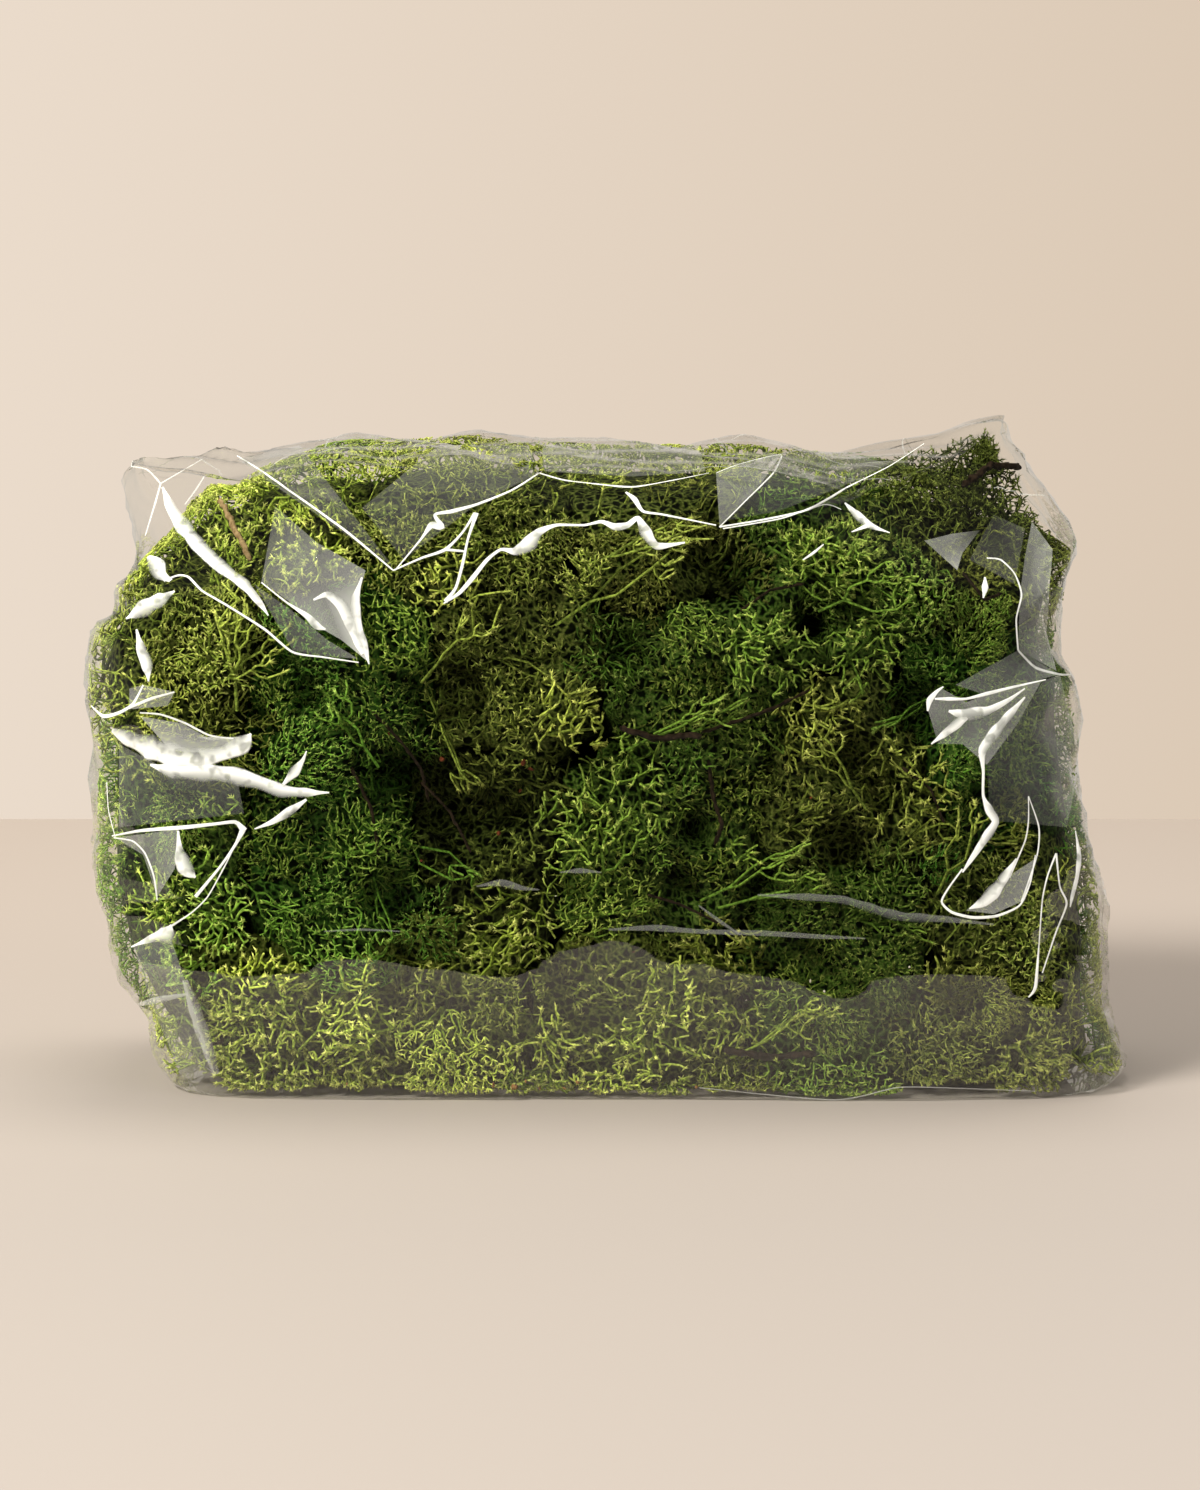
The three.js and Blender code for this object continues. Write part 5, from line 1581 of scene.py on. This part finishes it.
def bent_rod(draw, path, radius):
    """A knotty bent rod along its points, closed at both ends."""
    path = np.array(path, float)
    places = np.linspace(0, len(path) - 1, ROD_STEPS)
    line = np.stack([np.interp(places, range(len(path)), path[:, k]) for k in range(3)], axis=1)
    line[1:-1] += draw.normal(0, radius * 0.18, line[1:-1].shape)
    way = unit(np.gradient(line, axis=0))
    side = unit(np.cross(way, [0, 1.0, 0.2]))
    other = np.cross(way, side)
    points = []
    for k in range(ROD_STEPS):
        girth = radius * (1 + 0.16 * math.sin(k * 1.7) + 0.1 * draw.normal())
        if k in (0, ROD_STEPS - 1):
            girth *= 0.55
        for j in range(ROD_SIDES):
            turn = 2 * math.pi * j / ROD_SIDES
            lobe = girth * (1 + 0.14 * math.sin(3 * turn + k * 0.4))
            points.append(line[k] + lobe * (math.cos(turn) * side[k] + math.sin(turn) * other[k]))
    faces = []
    for k in range(ROD_STEPS - 1):
        here = k * ROD_SIDES
        there = here + ROD_SIDES
        for j in range(ROD_SIDES):
            n = (j + 1) % ROD_SIDES
            faces.append((here + j, here + n, there + n, there + j))
    faces.append(tuple(range(ROD_SIDES))[::-1])
    faces.append(tuple((ROD_STEPS - 1) * ROD_SIDES + j for j in range(ROD_SIDES)))
    return np.array(points), faces


# The twigs and the straw where their solids lie: radius and path.
TWIGS = {
    "heather_twig_right": (1.0, ((103, -17.9, 173.7), (112, -10.1, 179.7), (121, -7.9, 178.7))),
    "heather_twig_middle": (0.9, ((4, -53.6, 108), (14, -53.2, 105), (27, -54, 106))),
    "heather_twig_base": (1.0, ((34, -49.6, 15), (46, -49.5, 13), (60, -50.3, 14))),
    "straw_left": (0.8, ((-111.2, -18, 170.2), (-106.4, -26.3, 163), (-100.6, -38.5, 154))),
}
# Thin dark stalks among the front moss: radius, then x, height and depth behind the film along each.
STALKS = (
    (0.5, (27, 106, 6), (36, 109, 5), (48, 113, 6), (58, 118, 8)),
    (0.6, (29, 98, 7), (30.5, 88, 5), (33, 80, 5), (31, 74, 7)),
    (0.45, (-66, 112, 7), (-58, 104, 5), (-52, 96, 6), (-50, 86, 8)),
    (0.4, (-52, 92, 6), (-44, 84, 5), (-38, 72, 6)),
    (0.5, (-72, 96, 8), (-66, 84, 6), (-64, 70, 7)),
    (0.4, (38, 140, 8), (46, 146, 6), (56, 148, 7)),
    (0.45, (104, 152, 6), (112, 146, 5), (120, 148, 6)),
    (0.4, (84, 96, 7), (92, 90, 5), (96, 80, 7)),
    (0.5, (-120, 30, 5), (-128, 22, 4), (-133, 20, 3)),
    (0.5, (-118, 12, 4), (-124, 8, 3), (-129, 6, 3)),
    (0.4, (12, 60, 6), (22, 57, 5), (32, 52, 6)),
)
STALK_GAP = np.array([6, 3, 4])  # from a stalk to the film, along each axis
FLECK_GAP = 1.6
# Flecks among the front moss: their dark and light colour, then x, height and size of each.
FLECKS = {
    "dead leaf": (
        "#3f1d10", "#7d4226", (-23, 98, 2.6), (-21, 96, 1.8), (-46, 99, 1.6), (-30, 78, 1.4),
        (-61, 106, 1.2), (-24, 90, 1.2), (8, 44, 1.1), (-52, 70, 1.1), (58, 88, 1.0),
    ),
    "dry crumb": (
        "#7a5228", "#b98a4e", (-32, 4, 1.8), (-26, 3, 2.2), (-19, 2.5, 1.6), (-12, 2.5, 2.0),
        (-5, 3, 1.4), (26, 3, 1.1), (-8, 5, 1.2), (-22, 5, 1.2), (-74, 4, 1.0),
    ),
    "pale grit": (
        "#a79f8e", "#d8d2c4", (58, 36, 1.2), (62, 33, 0.8), (40, 30, 0.7), (-14, 60, 0.6), (86, 40, 0.7),
    ),
}


def fleck(draw, middle, size):
    """A small broken flake: a flattened lump with an uneven edge."""
    ways, faces = sphere_grid(4, 7)
    turn = unit(draw.normal(0, 1, 3))
    lumps = ways * draw.uniform(0.7, 1.2, (len(ways), 1)) * size / 2
    flat = lumps - 0.65 * (lumps @ turn)[:, None] * turn
    return middle + flat, faces


def make_litter(sheet):
    """The twigs and the straw over their solids, and the stalks and flecks among the front moss."""
    draw = np.random.default_rng(LITTER_SEED)
    bark = heather_bark("heather bark", "#120d09", "#33281c")
    straw = heather_bark("dry straw", "#6a5636", "#a08a62")
    for node, (radius, path) in TWIGS.items():
        piece = new_mesh(node + "_grown", *bent_rod(draw, path, radius))
        dress(piece, straw if node == "straw_left" else bark, SLOT_OF[node], node)
    for number, (radius, *path) in enumerate(STALKS):
        line = np.array([behind_front(x, z, depth) for x, z, depth in path])
        line = keep_under(sheet, pinch_ears(press_inside(line, STALK_GAP)), 3 * radius)
        piece = new_mesh(f"dark_stalk_{number + 1}", *bent_rod(draw, line, radius))
        dress(piece, bark, "heather_bark")
    for name, (dark, light, *places) in FLECKS.items():
        middles = np.array([behind_front(x, z, draw.uniform(1.5, 4)) for x, z, _ in places])
        middles = keep_under(sheet, middles, FLECK_GAP)
        flakes = [fleck(draw, middle, size) for middle, (_, _, size) in zip(middles, places)]
        piece = new_mesh(name.replace(" ", "_"), *join(flakes))
        dress(piece, heather_bark(name, dark, light), "heather_bark")


# ------------------------------------------------------------------ floor, light and camera


def make_camera():
    """The camera where the folds were measured from."""
    camera = bpy.data.cameras.new("camera")
    camera.lens = LENS
    camera.sensor_fit = "VERTICAL"
    camera.sensor_height = SENSOR
    camera.sensor_width = SENSOR
    piece = bpy.data.objects.new("camera", camera)
    piece.location = EYE * MM
    piece.rotation_euler = Vector(AIM - EYE).to_track_quat("-Z", "Y").to_euler()
    bpy.context.scene.collection.objects.link(piece)
    bpy.context.scene.camera = piece


FLOOR_REACH = 3000
FLOOR_FRONT = -190  # the film mirrors the floor only behind here
FLOOR_FAR = 510


def make_floor():
    """A pale board, a little lighter towards the back, in two parts of which the film mirrors one."""
    material = new_material("pale painted board")
    tree = material.node_tree
    place = add(tree, "ShaderNodeTexCoord")
    parts = add(tree, "ShaderNodeSeparateXYZ", Vector=(place, "Object"))
    depth = add(tree, "ShaderNodeMapRange", Value=(parts, "Y"), _1=FLOOR_FRONT * MM, _2=FLOOR_FAR * MM)
    ramp = add(tree, "ShaderNodeValToRGB", Fac=depth)
    set_ramp(ramp, [(0.0, linear("#aea69f")), (1.0, linear("#bcb0a5"))])
    body = add(tree, "ShaderNodeBsdfPrincipled", Base_Color=ramp, Roughness=0.6, IOR=1.45)
    body.inputs["Specular IOR Level"].default_value = 0.2
    add(tree, "ShaderNodeOutputMaterial", Surface=body)
    spans = {"floor_near": (FLOOR_FRONT, FLOOR_FAR), "floor_front": (-FLOOR_REACH, FLOOR_FRONT)}
    ends = ((-FLOOR_REACH, 0), (FLOOR_REACH, 0), (FLOOR_REACH, 1), (-FLOOR_REACH, 1))
    for name, span in spans.items():
        corners = [(x, span[k], 0) for x, k in ends]
        piece = new_mesh(name, np.array(corners, float), np.array([[0, 1, 2, 3]]), smooth=False)
        piece.data.materials.append(material)
        piece.visible_glossy = name == "floor_near"


def area_light(name, place, aim, size, power, colour):
    """A soft light that the film doesn't mirror. Places and sizes are metres."""
    light = bpy.data.lights.new(name, "AREA")
    light.shape = "RECTANGLE"
    light.size, light.size_y = size
    light.energy = power
    light.color = linear(colour)[:3]
    piece = bpy.data.objects.new(name, light)
    piece.location = place
    piece.rotation_euler = (Vector(aim) - Vector(place)).to_track_quat("-Z", "Y").to_euler()
    piece.visible_glossy = False
    bpy.context.scene.collection.objects.link(piece)


def make_room():
    """A pale wall where the camera sees it, and a dimmer room for the light and the mirroring."""
    world = bpy.data.worlds.new("studio")
    world.use_nodes = True
    tree = world.node_tree
    tree.nodes.clear()
    ray = add(tree, "ShaderNodeLightPath")
    place = add(tree, "ShaderNodeTexCoord")
    dot = {"operation": "DOT_PRODUCT"}
    facing = add(tree, "ShaderNodeVectorMath", dot, _0=(place, "Generated"), _1=(0, -1, 0.05))
    ramp = add(tree, "ShaderNodeValToRGB", Fac=(facing, "Value"))
    set_ramp(ramp, [(0.0, linear("#cfc7bd")), (0.72, linear("#a8a29a")), (0.86, linear("#0c0c0c"))])
    parts = add(tree, "ShaderNodeSeparateXYZ", Vector=(place, "Generated"))
    across = add(tree, "ShaderNodeMapRange", Value=(parts, "X"), _1=-0.18, _2=0.18)
    paint = add(tree, "ShaderNodeValToRGB", Fac=across)
    set_ramp(paint, [(0.0, linear("#ebdccc")), (1.0, linear("#dbc9b5"))])
    wall = add(tree, "ShaderNodeBackground", Color=paint, Strength=1.0)
    # What the film mirrors: the pale walls at its sides, and little of the dim room in front and above.
    beside = add(tree, "ShaderNodeMapRange", Value=(facing, "Value"), _1=0.1, _2=0.55, _3=1.0, _4=0.05)
    below = add(tree, "ShaderNodeMapRange", Value=(parts, "Z"), _1=0.15, _2=0.5, _3=1.0, _4=0.1)
    mirrored = add(tree, "ShaderNodeMath", {"operation": "MULTIPLY"}, _0=beside, _1=below)
    less = add(tree, "ShaderNodeMath", {"operation": "SUBTRACT"}, _0=mirrored, _1=0.8)
    sum_of = {"operation": "MULTIPLY_ADD"}
    strength = add(tree, "ShaderNodeMath", sum_of, _0=(ray, "Is Glossy Ray"), _1=less, _2=0.8)
    room = add(tree, "ShaderNodeBackground", Color=ramp, Strength=strength)
    seen = add(tree, "ShaderNodeMixShader", Fac=(ray, "Is Camera Ray"), _1=room, _2=wall)
    add(tree, "ShaderNodeOutputWorld", Surface=seen)
    bpy.context.scene.world = world


def make_lights():
    """A strong soft light from the left, like a window's, a weak one from the right and one above."""
    area_light("window", (-1.5, -1.5, 1.7), (0, 0, 0.08), (0.8, 0.6), 105, "#fffaf2")
    area_light("fill", (1.6, -1.2, 0.9), (0, 0, 0.1), (1.0, 1.0), 9, "#f6f7ff")
    area_light("top", (0.1, 0.3, 1.6), (0, 0, 0.1), (0.9, 0.6), 12, "#fffaf2")


make_camera()
make_floor()
make_room()
make_lights()
bpy.context.scene.view_settings.view_transform = "Standard"

film_sheet = make_sheet()
grow_moss(film_sheet)
make_folds(film_sheet)
make_litter(film_sheet)
